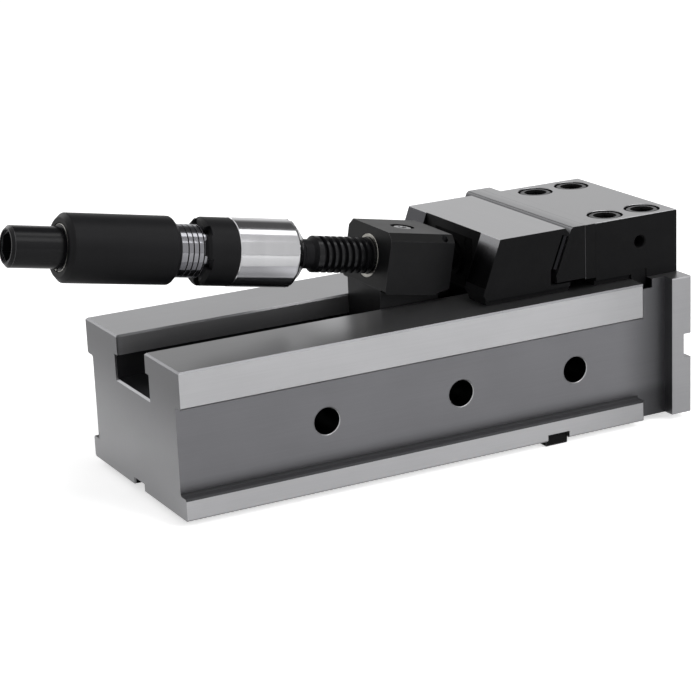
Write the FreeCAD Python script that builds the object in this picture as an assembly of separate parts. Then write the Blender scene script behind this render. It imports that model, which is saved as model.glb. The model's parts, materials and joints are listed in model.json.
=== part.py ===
"""Precision machine vise with an inclined booster spindle.

The origin is on the base's ground bottom face, midway between its left end and the fixed
jaw's rear face. +X runs from the spindle end to the fixed jaw, +Z is up and -Y is the
operator's side. All sizes are in millimetres.
"""
import os

import FreeCAD
import Part
from FreeCAD import Placement, Rotation, Vector
from math import cos, pi, radians, sin, sqrt, tan

# Base
base_length = 315.0
jaw_setback = 1.0            # of the fixed jaw's rear face from the base's end
base_width = 125.0
base_height = 80.0
side_recess = 7.0            # how far the claw grooves cut into each side
top_flange = 20.0
foot_flange = 12.0
end_plate = 13.0
flange_gap = 19.0            # the flanges stop this far short of the end plate
edge_break = 1.0
end_edge_break = 0.4
recess_fillet = 1.5
past = 1.0                   # how far a cutter runs past the faces it opens
tolerance = 0.01

# T-shaped channel that guides the nut block and the movable jaw
channel_width = 38.0
channel_depth = 25.0
lip_depth = 11.0
undercut = 4.0
channel_past_jaws = 13.0      # its round end lies under the fixed jaw
slide_gap = 0.1

# Keyways, keys and the side bores for mounting
keyway_width = 14.0
keyway_depth = 4.0
end_keyway_length = 40.0     # short lengthwise keyways at both ends of the bottom
cross_keyway_from_end = 89.5
face_keyway_height = 39.5
face_keyway_depth = 5.0
key_length = 30.0
key_drop = 3.5               # how far a key stands below the base
key_setback = 2.5
key_screw = 5.0
key_screw_head = 8.5
key_screw_hex = 4.0
key_screw_length = 10.0
key_screw_grip = 2.0         # of the key under the screw's head
key_screw_play = 0.5
tip_room = 4.0               # drilled depth past a screw's tip
small_tip_room = 1.0
side_bore = 15.0
side_bore_edge = 0.5
side_bore_height = 36.0
side_bore_first = 86.0
side_bore_pitches = (82.0, 73.5)

# Jaws
jaw_width = 100.0
jaw_height = 36.0
fixed_jaw_length = 61.5
jaw_plate = 7.0
jaw_plate_lift = 5.0         # chip relief under the jaw plate
overhang = 12.0              # jaw plate and pull-down insert reach past the far side
jaw_plate_screw = 6.0
jaw_plate_screw_head = 12.0
jaw_plate_screw_length = 22.0
jaw_plate_screw_pitch = 30.0
jaw_plate_screw_hex = 4.0
side_relief = 2.0
side_relief_height = 3.0
jaw_edge = 0.5

# Cross key and clamping screws of the fixed jaw
cross_key = 10.0
cross_key_from_end = 20.7
cross_key_length = 99.0
clamp_screw = 12.0
clamp_screw_head = 18.0
clamp_screw_hex = 10.0
clamp_screw_sink = 12.5
clamp_screw_length = 45.0
clamp_screw_from_end = 14.0
clamp_screw_pitch_x = 25.0
clamp_screw_pitch_y = 72.0
clamp_screw_play = 1.2
cap_edge = 1 / 16            # chamfer on a cap screw's head, as a share of its thread
counterbore = 20.0
stop_hole = 6.8
stop_hole_depth = 8.0
stop_hole_from_end = 25.0
stop_hole_height = 21.0
stop_hole_edge = 0.7

# Movable jaw with its incline
movable_jaw_length = 54.5    # top face, from the back edge to the clamping line
back_slope = 21.0
toe_height = 6.5
toe_chamfer = 2.0
toe_rise = 2.5               # the jaw's foot lifts off the rails towards the toe
toe_lead = 1.0
incline = 22.0
insert_top = 8.5
insert_edge = 1.0
nose_drop = 3.6
nose_chamfer = 4.2
insert_lift = 6.0            # underside of the insert above the rails
insert_heel = 18.7           # length of the insert's underside
foot_front_gap = 10.0
insert_travel = 0.8
insert_gap = 0.1
slide_plate = 4.5
slide_plate_bottom = 13.0
slide_plate_top = 31.0
slide_plate_tongue = 2.0
slide_plate_rabbet = 2.5
slide_plate_screw = 4.0
slide_plate_screw_head = 7.6
slide_plate_screw_length = 12.0
slide_plate_screw_pitch = 40.0
tongue_end_gap = 0.2
head_sink = 0.25             # countersunk heads lie this far below their face
head_gap = 0.1
back_pocket_width = 60.0

# Studs and springs that carry the insert
stud_shank = 8.0
stud_head = 14.0
stud_head_height = 4.0
stud_reach = 3.6
stud_depth = 12.0
stud_pitch = 52.0
stud_hole_play = 0.4
stud_side_gap = 0.3          # between a stud and its T-slot in the insert
stud_head_gap = 0.2
stud_slot_run = 40.0
insert_spring = 6.0
insert_spring_wire = 0.9
insert_spring_length = 10.0
insert_spring_pitch = 76.0
spring_seat = 1.2
spring_seat_play = 0.4
spring_hole_play = 1.6

# T-shaped keep that holds the movable jaw down
keep_length = 37.0
keep_setback = 6.0
keep_spigot = 2.5
keep_screw = 8.0
keep_screw_head = 13.0
keep_screw_sink = 8.5
keep_screw_grip = 14.0
keep_screw_hex = 6.0
keep_screw_pitch = 20.0
keep_screw_wall = 4.5
keep_screw_play = 1.0
keep_tip_room = 2.0

# Thrust point: the ball at the push rod's end, in its pad
spindle_tilt = 10.2
thrust_height = 15.1         # ball centre above the rails
ball_from_wall = 3.5         # ball centre beyond the jaw's back wall
thrust_ball = 12.0
pad_flange = 24.0
pad_neck = 16.8
pad_back = 10.0              # from the ball's centre to the pad's flat face
pad_keeper = 5.0
pad_keeper_width = 40.0
pad_keeper_height = 29.0
pad_keeper_rise = 0.9
keeper_screw = 4.0
keeper_screw_length = 12.0
keeper_screw_inset = 4.5
pad_climb = 2.4              # the pad rises on the jaw as the inclined spindle draws back
pad_gap = 0.1
pad_side_gap = 0.2
pad_neck_play = 0.6
pad_tail = 5.0               # the pad's neck behind the ball's centre
pad_mouth = 14.0             # length of the cutter that opens the cup to the rear
snap_wire = 1.4
snap_gap = 0.02
snap_play = 0.1

# Nut block
block_length = 40.0
block_width = 49.0
block_above = 16.7
block_below = 16.5
block_chamfer = 4.0
block_nose = 10.5            # the block's front edge below is cut off over this length
block_nose_rise = 3.6
block_from_ball = 19.5
corner_hole = 3.6            # small blind hole in the near upper edge
corner_hole_depth = 2.5
corner_hole_setback = 5.5
stem_length = 36.0
stem_left = 2.9
stem_foot = 2.0              # air between the stem's foot and the channel floor
lug_height = 11.8
stem_back_rise = 3.0         # the stem runs up into the head as a wedge
stem_peak_rise = 14.0
stem_peak_setback = 2.0
stem_front_rise = 8.0
bore_run = 10.0
nut_bush = 24.4
bush_edge = 0.3
bush_mouth = 0.4
lock_screw = 6.0
lock_screw_head = 10.0
lock_screw_head_height = 2.8
lock_screw_recess = 13.5
lock_screw_recess_depth = 3.2
lock_screw_hex = 4.0
lock_screw_hex_depth = 1.6
lock_screw_dimple = 0.8      # its tip sits in the bush
small_edge = 0.5

# Spindle, from the nut block back to the drive end
thread = 20.0
running_gap = 0.06
thread_free = 36.5
thread_past_block = 9.0
thread_chamfer = 2.0
neck = 16.0
neck_length = 5.0
collar = 21.6
collar_length = 5.5
collar_cone = 2.2
push_rod = 10.0

# Booster cylinder and its inner pieces
cylinder = 36.8
cylinder_length = 39.0
cylinder_bore = 28.0
cylinder_wall = 5.5
cylinder_chamfer = 3.6
cylinder_edge = 0.6
cylinder_nose = 1.2          # the front chamfer is rounded over this length
cylinder_nose_drop = 2.5
cylinder_play = 0.1
collar_play = 0.2
spindle_flange = 5.5
return_spring_gap = 2.0
piston_length = 8.0
piston_seal = 2.4
seal_play = 0.1
disc_sheet = 1.0             # thickness of the disc spring
disc_rod_gap = 0.6
disc_wall_gap = 1.0
chamber = 14.0
ring_nut = 36.5
ring_nut_length = 18.0
ring_nut_chamfer = 1.7
ring_nut_slots = 6
ring_nut_slot_width = 6.5
ring_nut_slot_turn = 42.0    # of the first slot, from the top towards the operator
ring_nut_slot_depth = 2.6
plunger = 10.0
plunger_clearance = 1.0
plunger_flange = 17.2
plunger_flange_height = 3.0
gland_length = 8.0
gland_seal = 2.0
gland_seal_depth = 2.1
plunger_bearing = 3.0
bearing_bore = 9.0
bearing_cavity = 19.2

# Force scale, grip sleeve and drive shaft
scale_sleeve = 28.3
scale_visible = 14.0
scale_seat = 8.0
scale_hidden = 32.0
scale_lines = 4
scale_pitch = 3.0
scale_line_width = 0.6
scale_line_depth = 0.5
scale_line_shift = 1.5       # the lines lie nearer to the ring than to the grip
sleeve_play = 0.1
power_travel = 12.0
power_thread = 18.0
power_thread_length = 32.0
grip = 36.3
grip_length = 63.0
grip_front_chamfer = 2.5
grip_back_chamfer = 3.0
grip_wall = 16.0
grip_ring_recess = 1.5
grip_play = 0.2
ring_recess_play = 0.3
drive_shaft = 21.8
drive_reach = 28.5
drive_chamfer = 1.6
drive_hex = 14.0
drive_hex_depth = 16.0
drive_recess = 17.0
drive_recess_depth = 1.0
shaft_key = 4.0
shaft_key_length = 10.0
shaft_key_wall = 1.5         # between the keyway and the ring's recess
retaining_ring = 1.2
retaining_ring_depth = 0.8
retaining_ring_reach = 1.5
retaining_ring_opening = 2.4

# Places worked out from the sizes above
left_end = (jaw_setback - base_length) / 2
right_end = left_end + base_length
jaw_rear = right_end - jaw_setback
plate_start = right_end - end_plate
flange_end = plate_start - flange_gap
half_base = base_width / 2
half_body = half_base - side_recess
half_channel = channel_width / 2
half_foot = half_channel - slide_gap         # of the nut block's stem and the keep
half_jaw = jaw_width / 2
clamp_x = jaw_rear - fixed_jaw_length
rail_z = base_height
jaw_top = rail_z + jaw_height
floor_z = base_height - channel_depth
lip_z = base_height - lip_depth
jaw_back_x = clamp_x - movable_jaw_length
slope = tan(radians(incline))
incline_x = clamp_x - insert_top            # where the incline meets the top plane
insert_z = rail_z + insert_lift
heel_x = clamp_x - insert_heel
foot_top = insert_z - insert_travel - insert_gap
thrust_point = Vector(jaw_back_x + ball_from_wall, 0, rail_z + thrust_height)
block_front = -block_from_ball              # places along the spindle, from the ball
block_back = block_front - block_length
block_middle = (block_front + block_back) / 2
thread_back = block_back - thread_free
cylinder_front = thread_back - neck_length - collar_length
cylinder_back = cylinder_front - cylinder_length
ring_back = cylinder_back - ring_nut_length
grip_front = ring_back - scale_visible
grip_back = grip_front - grip_length
drive_end = grip_back - drive_reach
flange_face = cylinder_front - cylinder_wall
piston_front = flange_face - spindle_flange - return_spring_gap
piston_back = piston_front - piston_length
chamber_back = piston_back - chamber
plunger_tip = piston_back - plunger_clearance - power_travel
gland_back = chamber_back - gland_length
plunger_front = gland_back - plunger_clearance - power_travel
bearing_front = plunger_front - plunger_flange_height
shaft_tip = bearing_front - plunger_bearing
scale_front = ring_back + scale_seat
scale_back = grip_front - scale_hidden
thread_front = scale_back + power_thread_length
shaft_step = scale_back - plunger_clearance - power_travel
cross_key_x = jaw_rear - cross_key_from_end - cross_key / 2
clamp_screw_xs = [jaw_rear - clamp_screw_from_end - n * clamp_screw_pitch_x for n in (1, 0)]
clamp_screw_ys = [-clamp_screw_pitch_y / 2, clamp_screw_pitch_y / 2]
table_key_x = right_end - cross_keyway_from_end


def box(x0, x1, y0, y1, z0, z1):
    """A block between two corners."""
    return Part.makeBox(x1 - x0, y1 - y0, z1 - z0, Vector(x0, y0, z0))


def prism(points, y0, y1):
    """A side profile of (x, z) points carried from y0 to y1."""
    wire = Part.makePolygon([Vector(x, y0, z) for x, z in points + points[:1]])
    return Part.Face(wire).extrude(Vector(0, y1 - y0, 0))


def turned(profile):
    """A solid turned about X from (x, radius) points, closed along the axis."""
    ends = [(profile[-1][0], 0), (profile[0][0], 0)]
    points = profile + [end for end in ends if end not in profile]
    wire = Part.makePolygon([Vector(x, 0, r) for x, r in points + points[:1]])
    return Part.Face(wire).revolve(Vector(0, 0, 0), Vector(1, 0, 0), 360)


def rod(x0, x1, diameter):
    """A round bar along X."""
    return Part.makeCylinder(diameter / 2, x1 - x0, Vector(x0, 0, 0), Vector(1, 0, 0))


def tube(x0, x1, outer, inner):
    return rod(x0, x1, outer).cut(rod(x0, x1, inner))


def upright(x, y, z0, z1, diameter):
    """A round bar along Z."""
    return Part.makeCylinder(diameter / 2, z1 - z0, Vector(x, y, z0), Vector(0, 0, 1))


def hex_bar(across, height, base=Vector(0, 0, 0), direction=Vector(0, 0, 1)):
    """A hexagonal bar, for sockets."""
    corner = across / sqrt(3)
    ring = [Vector(corner * cos(n * pi / 3), corner * sin(n * pi / 3), 0) for n in range(7)]
    bar = Part.Face(Part.makePolygon(ring)).extrude(Vector(0, 0, height))
    bar.Placement = Placement(base, Rotation(Vector(0, 0, 1), direction))
    return bar


def cap_screw(shank, length, head, hex_size):
    """A socket-head screw that points down, with its head's seat at the origin."""
    screw = upright(0, 0, 0, shank, head).fuse(upright(0, 0, -length, 0, shank))
    rim = [e for e in screw.Edges if e.BoundBox.ZMin > shank - tolerance]
    screw = screw.makeChamfer(shank * cap_edge, rim)
    return screw.cut(hex_bar(hex_size, shank / 2, Vector(0, 0, shank / 2))).removeSplitter()


def moved(shape, x=0, y=0, z=0, axis=Vector(0, 0, 1), angle=0):
    """A copy, turned about the origin and then carried to its place."""
    copy = shape.copy()
    copy.Placement = Placement(Vector(x, y, z), Rotation(axis, angle)).multiply(copy.Placement)
    return copy


def on_spindle(shape):
    """Lay a piece that is made along X on the inclined spindle axis, ball centre at 0."""
    return moved(shape, *thrust_point, axis=Vector(0, 1, 0), angle=spindle_tilt)


def on_incline(shape, height):
    """Lay a piece on the incline: its X is square to the incline, its Z goes up it."""
    return moved(shape, face_x(rail_z + height), 0, rail_z + height, Vector(0, 1, 0), incline)


def face_x(z):
    """X of the incline at a height."""
    return incline_x - (jaw_top - z) * slope


def edges_where(shape, test):
    """The edges whose bounding box passes a test."""
    return [edge for edge in shape.Edges if test(edge.BoundBox)]


def near(value, target):
    return abs(value - target) < tolerance


def base_body():
    """The base's outer form: flanged body, end plate and claw grooves."""
    half = half_base
    body = box(left_end, plate_start, -half_body, half_body, 0, base_height)
    body = body.fuse(box(plate_start, right_end, -half, half, 0, base_height))
    for z0, z1 in ((0, foot_flange), (base_height - top_flange, base_height)):
        body = body.fuse(box(left_end, flange_end, -half, half, z0, z1))
    body = body.removeSplitter()
    inner = edges_where(body, lambda b: near(b.ZMin, b.ZMax) and near(abs(b.YMin), half_body)
                        and b.XLength > flange_gap + 1 and foot_flange - 1 < b.ZMin < lip_z)
    body = body.makeFillet(recess_fillet, inner)
    outer = edges_where(body, lambda b: near(b.ZMin, b.ZMax) and near(abs(b.YMin), half)
                        and b.XLength > end_plate + past)
    ends = edges_where(body, lambda b: near(b.XMin, left_end) and near(b.XMax, left_end)
                       and b.YLength > side_recess and near(b.ZMin, base_height))
    flange_ends = edges_where(body, lambda b: near(b.XMin, flange_end) and near(b.XMax, flange_end)
                              and near(abs(b.YMin), half) and near(abs(b.YMax), half))
    body = body.makeChamfer(edge_break, outer + ends + flange_ends)
    return body.makeChamfer(end_edge_break, edges_where(body, lambda b: near(b.XMin, right_end)))


def channel_cutter():
    """The T-shaped channel, open at the left end, with the cutter's round end."""
    end = clamp_x + channel_past_jaws
    cutter = None
    for half, z0, z1 in ((half_channel, floor_z, base_height + past),
                         (half_channel + undercut, floor_z, lip_z)):
        run = box(left_end - past, end - half, -half, half, z0, z1)
        run = run.fuse(upright(end - half, 0, z0, z1, 2 * half))
        cutter = run if cutter is None else cutter.fuse(run)
    mouth = [(left_end - past, floor_z), (left_end + edge_break, floor_z),
             (left_end - past, floor_z - edge_break - past)]
    wide = half_channel + undercut
    return cutter.fuse(prism(mouth, -wide, wide))


def rail_breaks():
    """Small chamfers along the channel's top edges."""
    start = left_end - past
    top = base_height
    cutters = []
    for side in (-1, 1):
        ring = [Vector(start, side * (half_channel - past), top + past),
                Vector(start, side * (half_channel + edge_break), top),
                Vector(start, side * half_channel, top - edge_break),
                Vector(start, side * (half_channel - past), top - edge_break)]
        face = Part.Face(Part.makePolygon(ring + ring[:1]))
        cutters.append(face.extrude(Vector(clamp_x - left_end, 0, 0)))
    return cutters


def side_bore_places():
    """X of each side bore, from the left end."""
    places = [left_end + side_bore_first]
    for pitch in side_bore_pitches:
        places.append(places[-1] + pitch)
    return places


def side_bore_cutter(x):
    """A through bore with a small chamfer at both mouths."""
    half = half_body
    radius = side_bore / 2
    mouth = radius + side_bore_edge + past
    profile = [(-half - past, mouth), (-half + side_bore_edge, radius),
               (half - side_bore_edge, radius), (half + past, mouth)]
    return moved(turned(profile), x, 0, side_bore_height, Vector(0, 0, 1), 90)


def table_key_places():
    """Centre of each key that lies in the cross keyway."""
    reach = half_base - key_setback - key_length / 2
    return [(table_key_x, -reach), (table_key_x, reach)]


def keyway(x0, x1, y0, y1):
    """A keyway in the bottom face."""
    return box(x0, x1, y0, y1, -past, keyway_depth)


def base():
    half_way = keyway_width / 2
    wide = half_base + past
    key_x = cross_key_x - cross_key / 2
    solid = base_body().cut(channel_cutter()).cut(Part.makeCompound(rail_breaks()))
    cuts = [side_bore_cutter(x) for x in side_bore_places()]
    cuts.append(keyway(left_end - past, left_end + end_keyway_length, -half_way, half_way))
    cuts.append(keyway(right_end - end_keyway_length, right_end + past, -half_way, half_way))
    cuts.append(keyway(table_key_x - half_way, table_key_x + half_way, -wide, wide))
    cuts.append(box(right_end - face_keyway_depth, right_end + past, -wide, wide,
                    face_keyway_height - half_way, face_keyway_height + half_way))
    cuts.append(box(key_x, key_x + cross_key, -wide, wide, base_height - cross_key / 2, base_height + past))
    screw_floor = jaw_top - clamp_screw_sink - clamp_screw_length - tip_room
    for x in clamp_screw_xs:
        for y in clamp_screw_ys:
            cuts.append(upright(x, y, screw_floor, base_height + past, clamp_screw + 2 * running_gap))
    key_screw_tip = keyway_depth - key_screw_grip + key_screw_length
    for x, y in table_key_places():
        cuts.append(upright(x, y, 0, key_screw_tip + tip_room, key_screw + 2 * running_gap))
    return solid.cut(Part.makeCompound(cuts)).removeSplitter()


def table_key_blank():
    """One key for the machine table's slot, recessed for its screw from below."""
    half = keyway_width / 2
    blank = box(-half, half, -key_length / 2, key_length / 2, -key_drop, keyway_depth)
    blank = blank.makeChamfer(edge_break / 2, edges_where(blank, lambda b: near(b.ZMax, -key_drop)))
    head_seat = keyway_depth - key_screw_grip
    blank = blank.cut(upright(0, 0, -key_drop - past, head_seat, key_screw_head + key_screw_play))
    return blank.cut(upright(0, 0, head_seat - past, keyway_depth + past, key_screw + key_screw_play))


def table_keys():
    return Part.makeCompound([moved(table_key_blank(), x, y) for x, y in table_key_places()])


def table_key_screws():
    screw = cap_screw(key_screw, key_screw_length, key_screw_head, key_screw_hex)
    screw = moved(screw, axis=Vector(1, 0, 0), angle=180)
    seat = keyway_depth - key_screw_grip
    return Part.makeCompound([moved(screw, x, y, seat) for x, y in table_key_places()])


def relieved_foot(solid, x0, x1):
    """Cut the small step along a jaw's lower side edges."""
    for y0, y1 in ((-half_jaw - past, -half_jaw + side_relief), (half_jaw - side_relief, half_jaw + past)):
        solid = solid.cut(box(x0 - past, x1 + past, y0, y1, rail_z - past, rail_z + side_relief_height))
    return solid


def fixed_jaw():
    front = clamp_x + jaw_plate
    wide = half_jaw + past
    key_x = cross_key_x - cross_key / 2
    solid = box(front, jaw_rear, -half_jaw, half_jaw, rail_z, jaw_top)
    rims = edges_where(solid, lambda b: near(b.ZMin, jaw_top) and not near(b.XMax, front))
    solid = relieved_foot(solid.makeChamfer(jaw_edge, rims), front, key_x)
    cuts = [box(key_x, key_x + cross_key, -wide, wide, rail_z - past, rail_z + cross_key / 2)]
    seat = jaw_top - clamp_screw_sink
    mouth = counterbore / 2
    for x in clamp_screw_xs:
        for y in clamp_screw_ys:
            cuts.append(upright(x, y, seat, jaw_top + past, counterbore))
            cuts.append(upright(x, y, rail_z - past, seat + past, clamp_screw + clamp_screw_play))
            cuts.append(Part.makeCone(mouth, mouth + past, past, Vector(x, y, jaw_top - jaw_edge)))
    stop_start = Vector(jaw_rear - stop_hole_from_end, -wide, rail_z + stop_hole_height)
    stop_radius = stop_hole / 2
    cuts.append(Part.makeCylinder(stop_radius, stop_hole_depth + past, stop_start, Vector(0, 1, 0)))
    cuts.append(Part.makeCone(stop_radius + stop_hole_edge + past, stop_radius, stop_hole_edge + past,
                              stop_start, Vector(0, 1, 0)))
    for y in jaw_plate_screw_ys():
        cuts.append(moved(rod(0, jaw_plate_screw_length, jaw_plate_screw + 2 * running_gap),
                          clamp_x, y, jaw_plate_screw_z()))
    return solid.cut(Part.makeCompound(cuts)).removeSplitter()


def jaw_plate_screw_ys():
    return (-jaw_plate_screw_pitch / 2, jaw_plate_screw_pitch / 2)


def jaw_plate_screw_z():
    return (rail_z + jaw_plate_lift + jaw_top) / 2


def countersunk(diameter, length, head):
    """A countersunk screw along +X, its flat head just below the face at 0."""
    cone = (head - diameter) / 2
    return turned([(head_sink, head / 2), (head_sink + cone, diameter / 2), (length, diameter / 2)])


def countersink(diameter, length, head):
    """The hole for that screw, open at the face."""
    cone = (head - diameter) / 2
    wide = head / 2 + head_gap
    narrow = diameter / 2 + head_gap
    return turned([(-past, wide), (head_sink, wide), (head_sink + cone, narrow), (length, narrow)])


def fixed_jaw_plate():
    solid = box(clamp_x, clamp_x + jaw_plate, -half_jaw, half_jaw + overhang,
                rail_z + jaw_plate_lift, jaw_top)
    rims = edges_where(solid, lambda b: near(b.XMin, clamp_x) and near(b.XMax, clamp_x))
    solid = solid.makeChamfer(jaw_edge / 2, rims)
    for y in jaw_plate_screw_ys():
        seat = countersink(jaw_plate_screw, jaw_plate + 2, jaw_plate_screw_head)
        solid = solid.cut(moved(seat, clamp_x, y, jaw_plate_screw_z()))
    return solid


def jaw_plate_screws():
    screw = countersunk(jaw_plate_screw, jaw_plate_screw_length - small_tip_room, jaw_plate_screw_head)
    socket = hex_bar(jaw_plate_screw_hex, jaw_plate_screw / 2, direction=Vector(1, 0, 0))
    screw = screw.cut(socket)
    return Part.makeCompound([moved(screw, clamp_x, y, jaw_plate_screw_z()) for y in jaw_plate_screw_ys()])


def fixed_jaw_key():
    half = cross_key / 2
    key = box(cross_key_x - half, cross_key_x + half, -cross_key_length / 2, cross_key_length / 2,
              rail_z - half, rail_z + half)
    return key.makeChamfer(jaw_edge, edges_where(key, lambda b: b.YLength > cross_key_length - past))


def fixed_jaw_screws():
    screw = cap_screw(clamp_screw, clamp_screw_length, clamp_screw_head, clamp_screw_hex)
    places = [(x, y) for x in clamp_screw_xs for y in clamp_screw_ys]
    return Part.makeCompound([moved(screw, x, y, jaw_top - clamp_screw_sink) for x, y in places])


def stud_places():
    """Height of the studs above the rails, and their two places across the jaw."""
    return (slide_plate_bottom + slide_plate_top) / 2, (-stud_pitch / 2, stud_pitch / 2)


def keep_screw_places():
    x = thrust_point.x + pad_back + keep_screw_wall + keep_screw / 2
    return [(x, -keep_screw_pitch / 2), (x, keep_screw_pitch / 2)]


def insert_spring_x():
    return (heel_x + clamp_x - foot_front_gap) / 2


def insert_spring_ys():
    return (-insert_spring_pitch / 2, insert_spring_pitch / 2)


def climbing(start, end, diameter):
    """Room for a round bar along X that climbs with the thrust pad."""
    low = moved(rod(start, end, diameter), 0, 0, thrust_point.z)
    high = moved(rod(start, end, diameter), 0, 0, thrust_point.z + pad_climb)
    between = box(start, end, -diameter / 2, diameter / 2, thrust_point.z, thrust_point.z + pad_climb)
    return low.fuse(high).fuse(between)


def thrust_recess():
    """Pocket in the jaw's back wall for the thrust pad and its keeper."""
    floor = thrust_point.x + pad_back
    wide = pad_keeper_width / 2 + pad_gap
    tall = pad_keeper_height / 2 + pad_gap
    middle = thrust_point.z + pad_keeper_rise
    pocket = climbing(jaw_back_x - past, floor, pad_flange + 2 * pad_side_gap)
    return pocket.fuse(box(jaw_back_x - past, jaw_back_x + pad_keeper, -wide, wide,
                           middle - tall, middle + tall))


def keeper_screw_places():
    middle = thrust_point.z + pad_keeper_rise
    dy = pad_keeper_width / 2 - keeper_screw_inset
    dz = pad_keeper_height / 2 - keeper_screw_inset
    return [(i * dy, middle + j * dz) for i in (-1, 1) for j in (-1, 1)]


def jaw_profile():
    """Side profile of the movable jaw: sloping back, toe, foot, incline and nose."""
    toe_z = rail_z + toe_height
    toe_x = jaw_back_x - (jaw_top - toe_z) * tan(radians(back_slope))
    angle = radians(incline)
    plate_back = slide_plate + insert_gap / 2
    plate_low = rail_z + slide_plate_bottom
    plate_high = rail_z + slide_plate_top + insert_gap
    wall_x = face_x(plate_low) - plate_back / cos(angle)
    roof = (face_x(plate_high) - plate_back * cos(angle), plate_high + plate_back * sin(angle))
    nose_z = jaw_top - nose_drop
    foot_x = clamp_x - foot_front_gap
    return [(jaw_back_x, jaw_top), (face_x(jaw_top) - nose_chamfer, jaw_top),
            (face_x(nose_z) - insert_gap, nose_z), (face_x(plate_high) - insert_gap, plate_high),
            roof, (wall_x, plate_low), (wall_x, foot_top), (foot_x, foot_top), (foot_x, rail_z),
            (toe_x + toe_chamfer + toe_lead, rail_z), (toe_x + toe_chamfer, rail_z + toe_rise),
            (toe_x, toe_z)]


def movable_jaw():
    profile = jaw_profile()
    toe_x = profile[-1][0]
    solid = relieved_foot(prism(profile, -half_jaw, half_jaw), toe_x, clamp_x - foot_front_gap)
    half_pocket = back_pocket_width / 2
    cuts = [box(toe_x - past, jaw_back_x, -half_pocket, half_pocket, rail_z - past, jaw_top - tolerance),
            thrust_recess()]
    start = jaw_back_x + keep_setback - slide_gap
    cuts.append(box(start, start + keep_length + 2 * slide_gap, -half_channel, half_channel,
                    rail_z - past, rail_z + keep_spigot))
    keep_tip = rail_z + keep_spigot + keep_screw_grip + keep_tip_room
    for x, y in keep_screw_places():
        cuts.append(upright(x, y, rail_z, keep_tip, keep_screw + 2 * running_gap))
    keeper_hole = rod(0, keeper_screw_length + small_tip_room, keeper_screw + 2 * running_gap)
    for y, z in keeper_screw_places():
        cuts.append(moved(keeper_hole, jaw_back_x, y, z))
    stud_height, stud_ys = stud_places()
    stud_hole = rod(-stud_depth - slide_plate - small_tip_room, past, stud_shank + 2 * running_gap)
    for y in stud_ys:
        cuts.append(on_incline(moved(stud_hole, 0, y, 0), stud_height))
    plate_hole = rod(-slide_plate_screw_length - small_tip_room, past, slide_plate_screw + 2 * running_gap)
    for y in slide_plate_screw_ys():
        cuts.append(on_incline(moved(plate_hole, 0, y, 0), stud_height))
    for y in insert_spring_ys():
        cuts.append(upright(insert_spring_x(), y, foot_top - spring_seat, foot_top + past,
                            insert_spring + spring_seat_play))
    return solid.cut(Part.makeCompound(cuts)).removeSplitter()


def slide_plate_piece():
    """Hardened plate between the jaw and the insert, with a tongue at each end."""
    half_length = (slide_plate_top - slide_plate_bottom) / cos(radians(incline)) / 2
    middle, stud_ys = stud_places()
    half = half_jaw - slide_plate_rabbet
    solid = box(-slide_plate, 0, -half, half, -half_length, half_length)
    centre = -slide_plate / 2
    half_tongue = slide_plate_tongue / 2
    reach = half_jaw - tongue_end_gap
    solid = solid.fuse(box(centre - half_tongue, centre + half_tongue, -reach, reach,
                           -half_length, half_length))
    for y in stud_ys:
        solid = solid.cut(moved(rod(-slide_plate - past, past, stud_shank + stud_hole_play), 0, y, 0))
    seat = moved(countersink(slide_plate_screw, slide_plate + past, slide_plate_screw_head), angle=180)
    for y in slide_plate_screw_ys():
        solid = solid.cut(moved(seat, 0, y, 0))
    return on_incline(moved(solid, -insert_gap / 2, 0, 0), middle)


def slide_plate_screw_ys():
    return (-slide_plate_screw_pitch, 0, slide_plate_screw_pitch)


def slide_plate_screws():
    screw = countersunk(slide_plate_screw, slide_plate_screw_length, slide_plate_screw_head)
    screw = moved(screw, -insert_gap / 2, 0, 0, angle=180)
    height = stud_places()[0]
    return Part.makeCompound([on_incline(moved(screw, 0, y, 0), height) for y in slide_plate_screw_ys()])


def stud_slot():
    """T-slot for one stud, open downwards, with room for the insert's travel."""
    half_neck = stud_shank / 2 + stud_side_gap
    half_head = stud_head / 2 + stud_side_gap
    neck_end = stud_reach + past
    head_start = stud_reach - stud_head_gap
    head_end = stud_reach + stud_head_height + 2 * stud_head_gap
    slot = box(-past, neck_end, -half_neck, half_neck, -stud_slot_run, 0)
    slot = slot.fuse(rod(-past, neck_end, 2 * half_neck))
    slot = slot.fuse(box(head_start, head_end, -half_head, half_head, -stud_slot_run, 0))
    slot = slot.fuse(rod(head_start, head_end, 2 * half_head))
    return moved(slot, 0, 0, insert_travel + stud_side_gap)


def jaw_insert():
    """Wedge-shaped insert that the incline pulls down as it clamps."""
    heel_z = jaw_top - (incline_x - heel_x) / slope
    profile = [(clamp_x, insert_z), (clamp_x, jaw_top), (incline_x + insert_edge, jaw_top),
               (face_x(jaw_top - insert_edge), jaw_top - insert_edge), (heel_x, heel_z), (heel_x, insert_z)]
    solid = prism(profile, -half_jaw, half_jaw + overhang)
    height, stud_ys = stud_places()
    for y in stud_ys:
        solid = solid.cut(on_incline(moved(stud_slot(), 0, y, 0), height))
    spring_top = foot_top - spring_seat + insert_spring_length
    for y in insert_spring_ys():
        solid = solid.cut(upright(insert_spring_x(), y, insert_z - past, spring_top,
                                  insert_spring + spring_hole_play))
    return solid.removeSplitter()


def insert_studs():
    """Mushroom studs screwed into the jaw, their heads in the insert's T-slots."""
    height, ys = stud_places()
    stud = rod(-stud_depth - slide_plate, stud_reach, stud_shank).fuse(
        rod(stud_reach, stud_reach + stud_head_height, stud_head)).removeSplitter()
    return Part.makeCompound([on_incline(moved(stud, 0, y, 0), height) for y in ys])


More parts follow.
